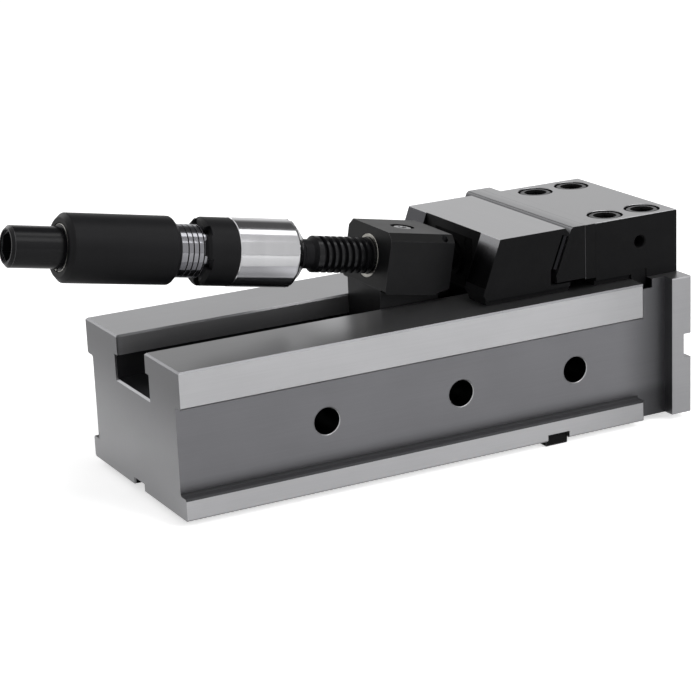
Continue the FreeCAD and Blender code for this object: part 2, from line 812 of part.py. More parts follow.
def insert_springs():
    """Compression springs that lift the insert back, drawn as sleeves."""
    low = foot_top - spring_seat
    high = low + insert_spring_length
    inner = insert_spring - 2 * insert_spring_wire
    springs = []
    for y in insert_spring_ys():
        spring = upright(insert_spring_x(), y, low, high, insert_spring)
        springs.append(spring.cut(upright(insert_spring_x(), y, low - past, high + past, inner)))
    return Part.makeCompound(springs)


def jaw_keep():
    """T-shaped slide under the movable jaw."""
    x0 = jaw_back_x + keep_setback
    x1 = x0 + keep_length
    wide = half_foot + undercut
    low = floor_z + stem_foot
    solid = box(x0, x1, -half_foot, half_foot, low, rail_z + keep_spigot)
    solid = solid.fuse(box(x0, x1, -wide, wide, low, lip_z - slide_gap)).removeSplitter()
    for x, y in keep_screw_places():
        sink = upright(x, y, low - past, low + keep_screw_sink, keep_screw_head + keep_screw_play)
        solid = solid.cut(sink)
        solid = solid.cut(upright(x, y, low, rail_z + keep_spigot + past, keep_screw + keep_screw_play))
    return solid


def jaw_keep_screws():
    seat = floor_z + stem_foot + keep_screw_sink
    length = rail_z + keep_spigot + keep_screw_grip - seat
    screw = cap_screw(keep_screw, length, keep_screw_head, keep_screw_hex)
    screw = moved(screw, axis=Vector(1, 0, 0), angle=180)
    return Part.makeCompound([moved(screw, x, y, seat) for x, y in keep_screw_places()])


def thrust_pad():
    """Pad that carries the rod's ball and bears flat on the jaw."""
    flange = jaw_back_x + pad_keeper + pad_gap - thrust_point.x
    pad = turned([(-pad_tail, pad_neck / 2), (flange, pad_neck / 2), (flange, pad_flange / 2),
                  (pad_back, pad_flange / 2)])
    pad = moved(pad, *thrust_point)
    cup = Part.makeSphere(thrust_ball / 2 + running_gap)
    cup = cup.fuse(rod(-pad_mouth, 0, thrust_ball + 2 * running_gap))
    return pad.cut(on_spindle(cup.fuse(snap_ring(snap_wire + 2 * snap_gap))))


def snap_ring_place():
    """The snap ring lies behind the ball, in the pad's groove."""
    return -sqrt((thrust_ball / 2) ** 2 - (push_rod / 2) ** 2) - snap_wire / 2


def snap_ring(wire):
    """A ring of round wire on the spindle axis."""
    radius = (push_rod + snap_wire) / 2 + snap_play
    return Part.makeTorus(radius, wire / 2, Vector(snap_ring_place(), 0, 0), Vector(1, 0, 0))


def pad_keeper_piece():
    """Plate that holds the pad's flange in the jaw and lets it slide up and down."""
    half = pad_keeper_width / 2
    tall = pad_keeper_height / 2
    middle = thrust_point.z + pad_keeper_rise
    back = jaw_back_x + pad_keeper
    solid = box(jaw_back_x, back, -half, half, middle - tall, middle + tall)
    solid = solid.cut(climbing(jaw_back_x - past, back + past, pad_neck + pad_neck_play))
    seat = countersink(keeper_screw, pad_keeper + past, 2 * keeper_screw)
    for y, z in keeper_screw_places():
        solid = solid.cut(moved(seat, jaw_back_x, y, z))
    return solid


def pad_keeper_screws():
    screw = countersunk(keeper_screw, keeper_screw_length, 2 * keeper_screw)
    return Part.makeCompound([moved(screw, jaw_back_x, y, z) for y, z in keeper_screw_places()])


def nut_block_head():
    """Chamfered head of the nut block, square to the spindle."""
    half = block_width / 2
    profile = [(block_back, -block_below), (block_front - block_nose, -block_below),
               (block_front, block_nose_rise - block_below), (block_front, block_above),
               (block_back, block_above)]
    head = prism(profile, -half, half)
    top = edges_where(head, lambda b: near(b.ZMin, block_above) and b.XLength > past)
    head = head.makeChamfer(block_chamfer, top)
    under = edges_where(head, lambda b: near(b.ZMax, -block_below) and near(b.XMax, block_back))
    head = head.makeChamfer(edge_break, under)
    middle = block_above - block_chamfer / 2
    return head.cut(upright(block_front - corner_hole_setback, block_chamfer / 2 - half,
                            middle - corner_hole_depth, block_above + past, corner_hole))


def nut_block():
    """Head on the spindle axis, and an upright stem with lugs under the rails."""
    back = thrust_point.x + block_back * cos(radians(spindle_tilt)) - stem_left
    front = back + stem_length
    foot = floor_z + stem_foot
    waist = rail_z + toe_height
    profile = [(back, foot), (front, foot), (front, waist + stem_front_rise),
               (back + stem_peak_setback, waist + stem_peak_rise), (back, waist + stem_back_rise)]
    stem = prism(profile, -half_foot, half_foot)
    wide = half_foot + undercut
    lugs = box(back, front, -wide, wide, foot, foot + lug_height)
    solid = on_spindle(nut_block_head()).fuse(stem).fuse(lugs)
    bore = rod(block_back - bore_run, block_front + bore_run, nut_bush)
    recess_floor = block_above - lock_screw_recess_depth
    recess = upright(block_middle, 0, recess_floor, block_above + past, lock_screw_recess)
    tapped = upright(block_middle, 0, 0, block_above, lock_screw + 2 * running_gap)
    return solid.cut(on_spindle(bore.fuse(recess).fuse(tapped))).removeSplitter()


def nut_bush_piece():
    """Bronze nut bush; its thread is drawn as a plain bore."""
    bore = thread / 2 + running_gap
    rim = nut_bush / 2
    bush = turned([(block_back, rim - bush_edge), (block_back + bush_edge, rim),
                   (block_front - bush_edge, rim), (block_front, rim - bush_edge)])
    mouth = bore + bush_mouth + past
    cutter = turned([(block_back - past, mouth), (block_back + bush_mouth, bore),
                     (block_front - bush_mouth, bore), (block_front + past, mouth)])
    dimple = upright(block_middle, 0, rim - lock_screw_dimple, rim + past, lock_screw + 2 * running_gap)
    return on_spindle(bush.cut(cutter).cut(dimple))


def nut_lock_screw():
    low = nut_bush / 2 - lock_screw_dimple
    seat = block_above - lock_screw_recess_depth
    high = seat + lock_screw_head_height
    screw = upright(block_middle, 0, low, seat, lock_screw)
    screw = screw.fuse(upright(block_middle, 0, seat, high, lock_screw_head))
    screw = screw.makeChamfer(small_edge, edges_where(screw, lambda b: near(b.ZMin, high)))
    socket_floor = Vector(block_middle, 0, high - lock_screw_hex_depth)
    socket = hex_bar(lock_screw_hex, lock_screw_hex_depth, socket_floor)
    return on_spindle(screw.cut(socket))


def threaded_spindle():
    """Hollow spindle: flange in the cylinder, collar, neck and trapezoidal thread."""
    crest = thread / 2
    end = block_front + thread_past_block
    flange = cylinder_bore / 2 - cylinder_play
    collar_back = thread_back - neck_length
    profile = [(flange_face - spindle_flange, flange), (flange_face, flange), (flange_face, collar / 2),
               (collar_back - collar_cone, collar / 2), (collar_back, neck / 2), (thread_back, neck / 2),
               (thread_back + thread_chamfer, crest), (end - thread_chamfer, crest),
               (end, crest - thread_chamfer)]
    bore = rod(flange_face - spindle_flange - past, end + past, push_rod + 2 * running_gap)
    return on_spindle(turned(profile).cut(bore))


def push_rod_piece():
    """Rod from the force piston through the spindle, with its ball end."""
    shank = rod(piston_front, 0, push_rod)
    return on_spindle(shank.fuse(Part.makeSphere(thrust_ball / 2)).removeSplitter())


def booster_cylinder():
    r = cylinder / 2
    profile = [(cylinder_back, r - cylinder_edge), (cylinder_back + cylinder_edge, r),
               (cylinder_front - cylinder_chamfer, r),
               (cylinder_front - cylinder_nose, r - cylinder_nose_drop),
               (cylinder_front, r - cylinder_chamfer)]
    solid = turned(profile).cut(rod(cylinder_back - past, flange_face, cylinder_bore))
    return on_spindle(solid.cut(rod(flange_face - past, cylinder_front + past, collar + collar_play)))


def seal_groove():
    """Diameter of the seal groove's floor in the force piston."""
    return cylinder_bore - 2 * piston_seal + 2 * seal_play


def force_piston():
    piston = rod(piston_back, piston_front, cylinder_bore - cylinder_play)
    middle = (piston_back + piston_front) / 2
    half = piston_seal / 2 + seal_play
    return on_spindle(piston.cut(tube(middle - half, middle + half, cylinder_bore + past, seal_groove())))


def force_piston_seal():
    middle = (piston_back + piston_front) / 2
    half = piston_seal / 2
    outer = cylinder_bore - cylinder_play
    return on_spindle(tube(middle - half, middle + half, outer, seal_groove() + seal_play))


def piston_spring():
    """Disc spring that draws the force piston back."""
    front = flange_face - spindle_flange
    inner = push_rod / 2 + disc_rod_gap
    outer = cylinder_bore / 2 - disc_wall_gap
    ring = [(piston_front, inner), (piston_front + disc_sheet, inner),
            (front, outer), (front - disc_sheet, outer)]
    wire = Part.makePolygon([Vector(x, 0, r) for x, r in ring + ring[:1]])
    return on_spindle(Part.Face(wire).revolve(Vector(0, 0, 0), Vector(1, 0, 0), 360))


def cylinder_ring_nut():
    """Slotted ring that closes the cylinder and guides the plunger."""
    r = ring_nut / 2
    spigot = (cylinder_bore - cylinder_play) / 2
    solid = turned([(ring_back, r - ring_nut_chamfer), (ring_back + ring_nut_chamfer, r),
                    (cylinder_back, r), (cylinder_back, spigot), (chamber_back, spigot)])
    solid = solid.cut(rod(ring_back - past, scale_front, scale_sleeve + sleeve_play))
    solid = solid.cut(rod(scale_front - past, gland_back, bearing_cavity))
    solid = solid.cut(rod(gland_back - past, chamber_back + past, plunger + 2 * running_gap))
    half_seal = gland_seal / 2 + seal_play
    seal = plunger_seal_place()
    solid = solid.cut(rod(seal - half_seal, seal + half_seal, plunger + 2 * gland_seal_depth))
    half_slot = ring_nut_slot_width / 2
    slot = box(ring_back - past, ring_back + ring_nut_slot_depth, -half_slot, half_slot,
               scale_sleeve / 2 - past, r + past)
    for n in range(ring_nut_slots):
        angle = ring_nut_slot_turn + n * 360 / ring_nut_slots
        solid = solid.cut(moved(slot, axis=Vector(1, 0, 0), angle=angle))
    return on_spindle(solid)


def plunger_seal_place():
    return (gland_back + chamber_back) / 2


def plunger_seal():
    middle = plunger_seal_place()
    half = gland_seal / 2
    outer = plunger + 2 * gland_seal_depth - seal_play
    return on_spindle(tube(middle - half, middle + half, outer, plunger + 2 * seal_play))


def plunger_piece():
    shank = rod(bearing_front, plunger_tip, plunger)
    shank = shank.fuse(rod(bearing_front, plunger_front, plunger_flange)).removeSplitter()
    tip = edges_where(shank, lambda b: near(b.XMin, plunger_tip))
    return on_spindle(shank.makeChamfer(small_edge, tip))


def plunger_bearing_piece():
    """Thrust bearing between the plunger and the turning shaft, as one ring."""
    return on_spindle(tube(shaft_tip, bearing_front, plunger_flange, bearing_bore))


def scale_sleeve_piece():
    """Sleeve with the force lines; the grip covers them one by one."""
    r = scale_sleeve / 2
    solid = turned([(scale_back, r - small_edge), (scale_back + small_edge, r), (scale_front, r)])
    solid = solid.cut(rod(scale_back - past, thread_front, power_thread + 2 * running_gap))
    solid = solid.cut(rod(thread_front - past, scale_front + past, bearing_cavity))
    middle = ring_back - scale_visible / 2 + scale_line_shift
    half = scale_line_width / 2
    for n in range(scale_lines):
        x = middle + (n - (scale_lines - 1) / 2) * scale_pitch
        line = tube(x - half, x + half, scale_sleeve + past, scale_sleeve - 2 * scale_line_depth)
        solid = solid.cut(line)
    return on_spindle(solid)


def grip_sleeve():
    r = grip / 2
    step = grip_back + grip_wall
    solid = turned([(grip_back, r - grip_front_chamfer), (grip_back + grip_front_chamfer, r),
                    (grip_front - grip_back_chamfer, r), (grip_front, r - grip_back_chamfer)])
    solid = solid.cut(rod(grip_back - past, step + past, drive_shaft + 2 * running_gap))
    solid = solid.cut(rod(step, grip_front + past, scale_sleeve + grip_play))
    recess = drive_shaft + 2 * (retaining_ring_reach + ring_recess_play)
    solid = solid.cut(rod(grip_back - past, grip_back + grip_ring_recess, recess))
    half = shaft_key / 2
    keyway_cutter = box(key_back(), step + past, -half, half, 0, drive_shaft / 2 + half)
    return on_spindle(solid.cut(keyway_cutter))


def key_back():
    """Back end of the shaft key, behind the retaining ring."""
    return grip_back + grip_ring_recess + retaining_ring + shaft_key_wall


def shaft_key_blank():
    half = shaft_key / 2
    radius = drive_shaft / 2
    return box(key_back(), key_back() + shaft_key_length, -half, half, radius - half, radius + half)


def ring_groove():
    """Front of the retaining ring's groove in the drive shaft."""
    return grip_back + grip_ring_recess - retaining_ring


def drive_shaft_piece():
    """Shaft with the hexagon socket for the crank and the power thread at its front."""
    r = drive_shaft / 2
    p = power_thread / 2
    solid = turned([(drive_end, r - drive_chamfer), (drive_end + drive_chamfer, r),
                    (shaft_step - small_edge, r), (shaft_step, r - small_edge), (shaft_step, p),
                    (shaft_tip - small_edge, p), (shaft_tip, p - small_edge)])
    solid = solid.cut(rod(drive_end - past, drive_end + drive_recess_depth, drive_recess))
    socket_start = Vector(drive_end - past, 0, 0)
    solid = solid.cut(hex_bar(drive_hex, drive_hex_depth + past, socket_start, Vector(1, 0, 0)))
    floor = drive_shaft - 2 * retaining_ring_depth
    groove = tube(ring_groove(), ring_groove() + retaining_ring, drive_shaft + past, floor)
    return on_spindle(solid.cut(groove).cut(shaft_key_blank()))


def grip_retaining_ring():
    start = ring_groove()
    inner = drive_shaft - 2 * retaining_ring_depth
    outer = drive_shaft + 2 * retaining_ring_reach
    ring = tube(start, start + retaining_ring, outer, inner)
    half = retaining_ring_opening / 2
    opening = box(start - past, start + retaining_ring + past, -half, half, -outer, 0)
    return on_spindle(ring.cut(opening))


nodes = {
    "base": base,
    "table_keys": table_keys,
    "table_key_screws": table_key_screws,
    "fixed_jaw": fixed_jaw,
    "fixed_jaw_key": fixed_jaw_key,
    "fixed_jaw_screws": fixed_jaw_screws,
    "fixed_jaw_plate": fixed_jaw_plate,
    "fixed_jaw_plate_screws": jaw_plate_screws,
    "movable_jaw": movable_jaw,
    "slide_plate": slide_plate_piece,
    "slide_plate_screws": slide_plate_screws,
    "jaw_insert": jaw_insert,
    "insert_studs": insert_studs,
    "insert_springs": insert_springs,
    "jaw_keep": jaw_keep,
    "jaw_keep_screws": jaw_keep_screws,
    "thrust_pad": thrust_pad,
    "pad_snap_ring": lambda: on_spindle(snap_ring(snap_wire)),
    "pad_keeper": pad_keeper_piece,
    "pad_keeper_screws": pad_keeper_screws,
    "nut_block": nut_block,
    "nut_bush": nut_bush_piece,
    "nut_lock_screw": nut_lock_screw,
    "threaded_spindle": threaded_spindle,
    "push_rod": push_rod_piece,
    "booster_cylinder": booster_cylinder,
    "force_piston": force_piston,
    "force_piston_seal": force_piston_seal,
    "piston_spring": piston_spring,
    "cylinder_ring_nut": cylinder_ring_nut,
    "plunger": plunger_piece,
    "plunger_seal": plunger_seal,
    "plunger_bearing": plunger_bearing_piece,
    "force_scale_sleeve": scale_sleeve_piece,
    "grip_sleeve": grip_sleeve,
    "drive_shaft": drive_shaft_piece,
    "shaft_key": lambda: on_spindle(shaft_key_blank()),
    "grip_retaining_ring": grip_retaining_ring,
}

os.makedirs("parts", exist_ok=True)
for name, make in nodes.items():
    shape = make()
    shape.exportStep("parts/" + name + ".step")
    print(name, "solids", len(shape.Solids), "volume", round(shape.Volume), "valid", shape.isValid())
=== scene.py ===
import bpy
import json
from math import pi, radians
from mathutils import Matrix, Vector

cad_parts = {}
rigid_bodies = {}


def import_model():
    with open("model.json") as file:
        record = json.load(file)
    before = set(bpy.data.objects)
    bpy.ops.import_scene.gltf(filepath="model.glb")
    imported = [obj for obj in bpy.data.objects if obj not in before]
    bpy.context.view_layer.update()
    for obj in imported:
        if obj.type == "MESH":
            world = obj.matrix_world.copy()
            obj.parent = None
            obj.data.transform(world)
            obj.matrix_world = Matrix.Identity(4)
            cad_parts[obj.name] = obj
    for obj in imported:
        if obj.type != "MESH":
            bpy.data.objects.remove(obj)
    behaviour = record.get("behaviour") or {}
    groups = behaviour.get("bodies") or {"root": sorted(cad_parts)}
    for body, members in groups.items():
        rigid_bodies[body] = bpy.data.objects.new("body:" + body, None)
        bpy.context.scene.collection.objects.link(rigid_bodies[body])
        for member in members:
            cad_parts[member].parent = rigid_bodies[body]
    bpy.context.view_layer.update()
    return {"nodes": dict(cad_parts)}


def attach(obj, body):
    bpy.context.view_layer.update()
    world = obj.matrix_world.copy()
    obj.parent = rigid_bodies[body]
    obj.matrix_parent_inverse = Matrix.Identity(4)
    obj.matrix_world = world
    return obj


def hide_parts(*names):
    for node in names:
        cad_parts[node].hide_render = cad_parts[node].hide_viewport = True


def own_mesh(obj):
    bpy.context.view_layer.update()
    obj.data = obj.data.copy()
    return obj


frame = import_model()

mm = 0.001


def report(stage):
    print("scene:", stage)


def linearColor(code):          # "#rrggbb" in sRGB to a linear colour with alpha
    parts = [int(code[i:i + 2], 16) / 255 for i in (1, 3, 5)]
    return [p / 12.92 if p <= 0.04045 else ((p + 0.055) / 1.055) ** 2.4 for p in parts] + [1]


# Camera: stands low in front of the spindle end and looks along the vise

photoCamera = {
    "place": (-0.588656, -1.085309, 0.421893),
    "right": (0.8817155, -0.47001455, -0.04079343),
    "up": (0.17029341, 0.23643312, 0.95660835),
    "back": (-0.43997493, -0.85040326, 0.28850712),
    "lens": 118.815,
    "sensor": 36,
    "nearest": 0.05,
    "farthest": 50,
}


def addCamera(values):
    data = bpy.data.cameras.new("photoCamera")
    data.lens = values["lens"]
    data.sensor_width = values["sensor"]
    data.clip_start = values["nearest"]
    data.clip_end = values["farthest"]
    camera = bpy.data.objects.new("photoCamera", data)
    turn = Matrix((values["right"], values["up"], values["back"])).transposed()
    camera.matrix_world = Matrix.Translation(values["place"]) @ turn.to_4x4()
    bpy.context.scene.collection.objects.link(camera)
    bpy.context.scene.camera = camera


addCamera(photoCamera)
bpy.context.scene.view_settings.view_transform = "Standard"
report("camera")


# Nodes of a material or of the world

smooth = {"interpolation_type": "SMOOTHSTEP"}       # a soft step between two values


def addNode(tree, kind, *values, **settings):       # one node; values go to its sockets in order or by name
    node = tree.nodes.new("ShaderNode" + kind)
    for name, value in settings.items():
        setattr(node, name, value)
    sockets = [socket for socket in node.inputs if socket.enabled]
    byName = values and isinstance(values[0], dict)
    for key, value in values[0].items() if byName else enumerate(values):
        socket = node.inputs[key] if byName else sockets[key]
        if isinstance(value, bpy.types.Node):
            value = next(output for output in value.outputs if output.enabled)
        if isinstance(value, bpy.types.NodeSocket):
            tree.links.new(value, socket)
        else:
            socket.default_value = value
    return node


# Studio: pale floor, white backdrop, soft boxes

studio = {
    "floorHeight": -3.7 * mm,           # the table keys stand 3.5 mm below the base
    "floorSize": 12,
    "floorColor": "#e2e2e2",
    "floorGlow": 0.62,                  # floor seen by the camera goes to white, its shadow stays
    "floorMirrorGlow": 0.22,
    "horizon": 0.90,                    # backdrop behind the vise, pale near the horizon
    "backCeiling": 0.13,
    "backHeights": (0.28, 0.60),        # sines of the heights between which it darkens
    "frontWall": 0.92,
    "frontCeiling": 0.85,
    "frontHeights": (0.30, 0.80),
    "sides": (-0.25, 0.25),             # where the front half passes into the back half
    "leftSky": 1.1,                     # pale panel above the left end
    "leftSkyWidth": (-0.05, -0.3),
    "leftSkyHeight": (0.35, 0.55),
    "fill": 0.45,
    "lamps": {
        "keyLamp": {"place": (0.9, -1.5, 1.1), "aim": (0.0, -0.1, 0.05), "size": (1.1, 1.1), "watts": 22,
                    "mirrored": False},
        "skyLamp": {"place": (0.72, -0.2, 1.75), "aim": (0.72, -0.2, 0.0), "size": (1.7, 0.55), "watts": 7,
                    "mirrored": True},
        "backLamp": {"place": (-0.64, 1.87, 0.97), "aim": (-0.05, 0.0, 0.05), "size": (1.1, 0.9),
                     "watts": 5.6, "mirrored": True},
        "frontLamp": {"place": (0.40, -1.0, 1.30), "aim": (-0.07, 0.0, 0.1), "size": (0.7, 0.6),
                      "watts": 3.7, "mirrored": True},
    },
}


def addWorld(values):
    world = bpy.data.worlds.new("studioWorld")
    bpy.context.scene.world = world
    world.use_nodes = True
    tree = world.node_tree
    tree.nodes.clear()
    axes = addNode(tree, "SeparateXYZ", addNode(tree, "TexCoord").outputs["Generated"]).outputs
    behind = addNode(tree, "MapRange", axes["Z"], *values["backHeights"], values["horizon"],
                     values["backCeiling"], **smooth)
    front = addNode(tree, "MapRange", axes["Z"], *values["frontHeights"], values["frontWall"],
                    values["frontCeiling"], **smooth)
    backHalf = addNode(tree, "MapRange", axes["Y"], *values["sides"], **smooth)
    room = addNode(tree, "Mix", backHalf, front, behind)
    left = addNode(tree, "MapRange", axes["X"], *values["leftSkyWidth"], **smooth)
    high = addNode(tree, "MapRange", axes["Z"], *values["leftSkyHeight"], **smooth)
    overhead = addNode(tree, "Math", left, high, operation="MULTIPLY")
    room = addNode(tree, "Mix", overhead, room, values["leftSky"])
    ray = addNode(tree, "LightPath").outputs
    mirror = addNode(tree, "Math", ray["Is Glossy Ray"], ray["Is Transmission Ray"], operation="MAXIMUM")
    lit = addNode(tree, "Mix", mirror, values["fill"], room)
    strength = addNode(tree, "Mix", ray["Is Camera Ray"], lit, 1.0)
    back = addNode(tree, "Background", {"Color": (1, 1, 1, 1), "Strength": strength})
    addNode(tree, "OutputWorld", {"Surface": back})


def addFloor(values):
    bpy.ops.object.select_all(action="DESELECT")
    bpy.ops.mesh.primitive_plane_add(size=values["floorSize"], location=(0, 0, values["floorHeight"]))
    floor = bpy.context.object
    floor.name = "studioFloor"
    material, tree = newMaterial("mattPaintedFloor")        # matt studio floor
    ray = addNode(tree, "LightPath").outputs
    mirror = addNode(tree, "Math", ray["Is Glossy Ray"], ray["Is Transmission Ray"], operation="MAXIMUM")
    soft = addNode(tree, "Math", mirror, values["floorMirrorGlow"], operation="MULTIPLY")
    glow = addNode(tree, "Math", ray["Is Camera Ray"], values["floorGlow"], soft, operation="MULTIPLY_ADD")
    matt = addNode(tree, "BsdfDiffuse", {"Color": linearColor(values["floorColor"])})
    light = addNode(tree, "Emission", {"Color": (1, 1, 1, 1), "Strength": glow})
    addNode(tree, "OutputMaterial", {"Surface": addNode(tree, "AddShader", matt, light)})
    floor.data.materials.append(material)


def addLamps(values):
    for name, lamp in values["lamps"].items():
        data = bpy.data.lights.new(name, "AREA")
        data.shape = "RECTANGLE"
        data.size, data.size_y = lamp["size"]
        data.energy = lamp["watts"]
        light = bpy.data.objects.new(name, data)
        light.visible_glossy = lamp["mirrored"]
        way = Vector(lamp["aim"]) - Vector(lamp["place"])
        turn = way.to_track_quat("-Z", "Y").to_matrix().to_4x4()
        light.matrix_world = Matrix.Translation(lamp["place"]) @ turn
        bpy.context.scene.collection.objects.link(light)


def newMaterial(name):
    material = bpy.data.materials.new(name)
    material.use_nodes = True
    material.node_tree.nodes.clear()
    return material, material.node_tree


addWorld(studio)
addFloor(studio)
addLamps(studio)
report("studio")


# Materials: patterns and places are in millimetres; the spindle's patterns run along its inclined axis

spindleAxis = {
    "ball": (44.5 * mm, 0, 95.1 * mm),      # centre of the ball at the push rod's end
    "tilt": radians(10.2),
}
reliefStrength = 0.5


def addSurface(tree, sockets, height, depth):       # the shader, with a pattern as its fine relief
    bump = addNode(tree, "Bump", {"Strength": reliefStrength, "Distance": depth, "Height": height})
    shader = addNode(tree, "BsdfPrincipled", dict(sockets, Normal=bump))
    addNode(tree, "OutputMaterial", {"Surface": shader})


def streaks(tree, place, size, detail=2.0):         # noise drawn out to a length, width and height
    drawn = addNode(tree, "Mapping", {"Vector": place, "Scale": [1 / (s * mm) for s in size]})
    return addNode(tree, "TexNoise", {"Vector": drawn, "Scale": 1.0, "Detail": detail})


def alongSpindle(tree, place):              # the same point, with X along the spindle and 0 at the ball
    moved = addNode(tree, "Mapping", {"Vector": place, "Location": [-c for c in spindleAxis["ball"]]})
    return addNode(tree, "VectorRotate", {"Vector": moved, "Angle": -spindleAxis["tilt"]},
                   rotation_type="Y_AXIS")


def spotOf(tree):       # where a point lies in mm, and how far it faces right, up, sideways or endways
    coords = addNode(tree, "TexCoord").outputs
    inMillimetres = addNode(tree, "Mapping", {"Vector": coords["Object"], "Scale": (1 / mm, 1 / mm, 1 / mm)})
    place = addNode(tree, "SeparateXYZ", inMillimetres).outputs
    facing = addNode(tree, "SeparateXYZ", coords["Normal"]).outputs
    spot = {"x": place["X"], "y": place["Y"], "z": place["Z"], "right": facing["X"], "up": facing["Z"]}
    for name, value in (("across", place["Y"]), ("sideways", facing["Y"]), ("endways", facing["X"])):
        spot[name] = addNode(tree, "Math", value, operation="ABSOLUTE")
    return coords["Object"], spot


def patchOf(tree, spot, limits):            # 1 where a spot is within all the limits, 0 elsewhere
    mask = None
    for name, (low, high) in limits.items():
        inside = addNode(tree, "Math", spot[name], (low + high) / 2, (high - low) / 2, operation="COMPARE")
        mask = inside if mask is None else addNode(tree, "Math", mask, inside, operation="MULTIPLY")
    return mask


def overlay(tree, spot, below, patches, **settings):        # each patch lays its value over what is below
    for value, limits in patches:
        below = addNode(tree, "Mix", patchOf(tree, spot, limits), below, value, **settings)
    return below


def shade(tree, color, *amounts):           # a colour made lighter or darker by patterns
    for amount in amounts:
        grey = addNode(tree, "CombineXYZ", amount, amount, amount)
        color = addNode(tree, "Mix", 1.0, color, grey, data_type="RGBA", blend_type="MULTIPLY")
    return color


rails = (-160, 144)             # the base up to its end plate
facingOut = (0.6, 1.01)
grooveWall = {"across": (53.5, 58.5), "sideways": facingOut}
railTop = {"up": (0.9, 1.01), "z": (79, 81)}
boreWalls = {"across": (0, 54.45), "z": (-1, 79.9), "x": (-155.9, 144.9)}
channelWalls = {"across": (0, 23.2), "z": (54, 79.9), "x": (-155.9, 144.9)}
grooveFoot = {"across": (53.5, 58.5), "z": (11.5, 15.9), "sideways": (0, 0.997), "x": rails}
ledge = {"z": (11, 13), "up": facingOut, "x": rails}
groundLook = {
    "ground": "#b2b2b4",
    "patches": (
        ("#98989a", {"x": (144.5, 160), "z": (-1, 79.2)}),              # end plate
        ("#7c7c7e", {"x": (144, 146), "right": (-1.01, -0.6)}),         # its left face, painted darker as shade
        ("#77777a", grooveWall),                                        # milled claw grooves on both sides, painted darker than the flanges as their shade
        # painted shade: near black inside the bores, the channel and across the underside
        ("#1c1c1e", boreWalls),
        # the channel's upper walls, painted a little darker than the tops as shade
        ("#9c9c9e", channelWalls),
        ("#3c3c3e", dict(channelWalls, z=(54, 68.9))),                  # painted shade in the channel's undercut
        ("#8a8a8c", {"sideways": (0.5, 0.9), "across": (54.9, 64)}),    # chamfers and broken edges
        ("#e4e4e6", {"sideways": (0.5, 0.9), "across": (54.35, 55.15), "z": (26, 50)}),     # painted highlight on the bores' rims
        # painted shade: a dark band of fillet and ledge at the foot of the claw grooves
        ("#3c3c3e", grooveFoot),
        ("#3e3e40", ledge),
    ),
    "matt": ((0.0, grooveFoot), (0.0, ledge)),      # the groove's foot and ledge are non-metallic, so they show their painted shade without reflections
    "leftEnd": {"x": (-160, -150), "right": (-1.01, -0.6)},
    "leftEndColors": ("#a5a5a7", "#656567"),        # painted shade on the left end face, at the height of 10 mm and of 75 mm, darker towards the top
    "leftEndHeights": (10, 75),
    "shades": (                                     # painted shade: patch, direction, from, to, shade there and there
        # painted shade at the foot of the claw grooves
        (grooveWall, "z", 12, 21, 0.6, 1.0),
        # painted shade in the corner by the end plate
        (grooveWall, "x", 112, 142, 1.0, 0.45),
        (ledge, "x", 112, 142, 1.0, 0.45),
        # painted shade along the flanges' sides, darker towards the end plate
        ({"sideways": facingOut, "across": (58.5, 64), "x": rails}, "x", 60, 140, 1.0, 0.76),
        (dict(railTop, y=(-64, 0)), "x", -75, -45, 0.56, 1.05),         # painted shade on the near rail's top, darkest towards its left end and a little lighter to the right
    ),
    "specular": 0.08,
    "roughness": (0.26, 0.34),
    "roughPatches": ((0.42, grooveWall), (0.42, ledge), (0.42, boreWalls), (0.34, railTop)),
    "grain": (45, 0.7, 0.7),        # grinding lines, 0.1 mm apart on the real one, drawn 0.7 mm apart
    "grainShade": (0.95, 1.05),
    "smudge": (38, 30, 24),
    "smudgeShade": (0.93, 1.07),
    "lineDepth": 0.0072 * mm,
}


def groundToolSteel(look):      # surface ground tool steel: fine lines along the base, milled grooves painted darker as shade, with painted shade inside, in corners and on the left end, and painted highlights on the bores' rims
    material, tree = newMaterial("groundToolSteel")
    place, spot = spotOf(tree)
    patches = [(linearColor(code), limits) for code, limits in look["patches"]]
    color = overlay(tree, spot, linearColor(look["ground"]), patches, data_type="RGBA")
    # painted shade on the left end face, darker towards the top
    height = addNode(tree, "MapRange", spot["z"], *look["leftEndHeights"], **smooth)
    low, high = [linearColor(code) for code in look["leftEndColors"]]
    endColor = addNode(tree, "Mix", height, low, high, data_type="RGBA")
    color = overlay(tree, spot, color, [(endColor, look["leftEnd"])], data_type="RGBA")
    # painted shade, one step after another
    for limits, name, start, end, first, last in look["shades"]:
        step = addNode(tree, "MapRange", spot[name], start, end, first, last, **smooth)
        color = shade(tree, color, overlay(tree, spot, 1.0, [(step, limits)]))
    lines = streaks(tree, place, look["grain"])
    smudge = streaks(tree, place, look["smudge"], 3.0)
    color = shade(tree, color, addNode(tree, "MapRange", lines, 0, 1, *look["grainShade"]),
                  addNode(tree, "MapRange", smudge, 0, 1, *look["smudgeShade"]))
    rough = addNode(tree, "MapRange", smudge, 0, 1, *look["roughness"])
    addSurface(tree, {"Base Color": color, "Roughness": overlay(tree, spot, rough, look["roughPatches"]),
                      "Metallic": overlay(tree, spot, 1.0, look["matt"]),
                      "Specular IOR Level": look["specular"]}, lines, look["lineDepth"])
    return material


blackLook = {
    "color": "#0d0d0e",
    "paler": "#151516",
    "roughness": (0.42, 0.56),
    "specular": 0.06,
    "cloud": (16, 13, 11),
    "grit": (0.9, 0.9, 0.9),        # fine salt-and-pepper of the bead blast, drawn coarse enough to show
    "gritShade": (0.8, 1.2),
    "gritDepth": 0.006 * mm,
}
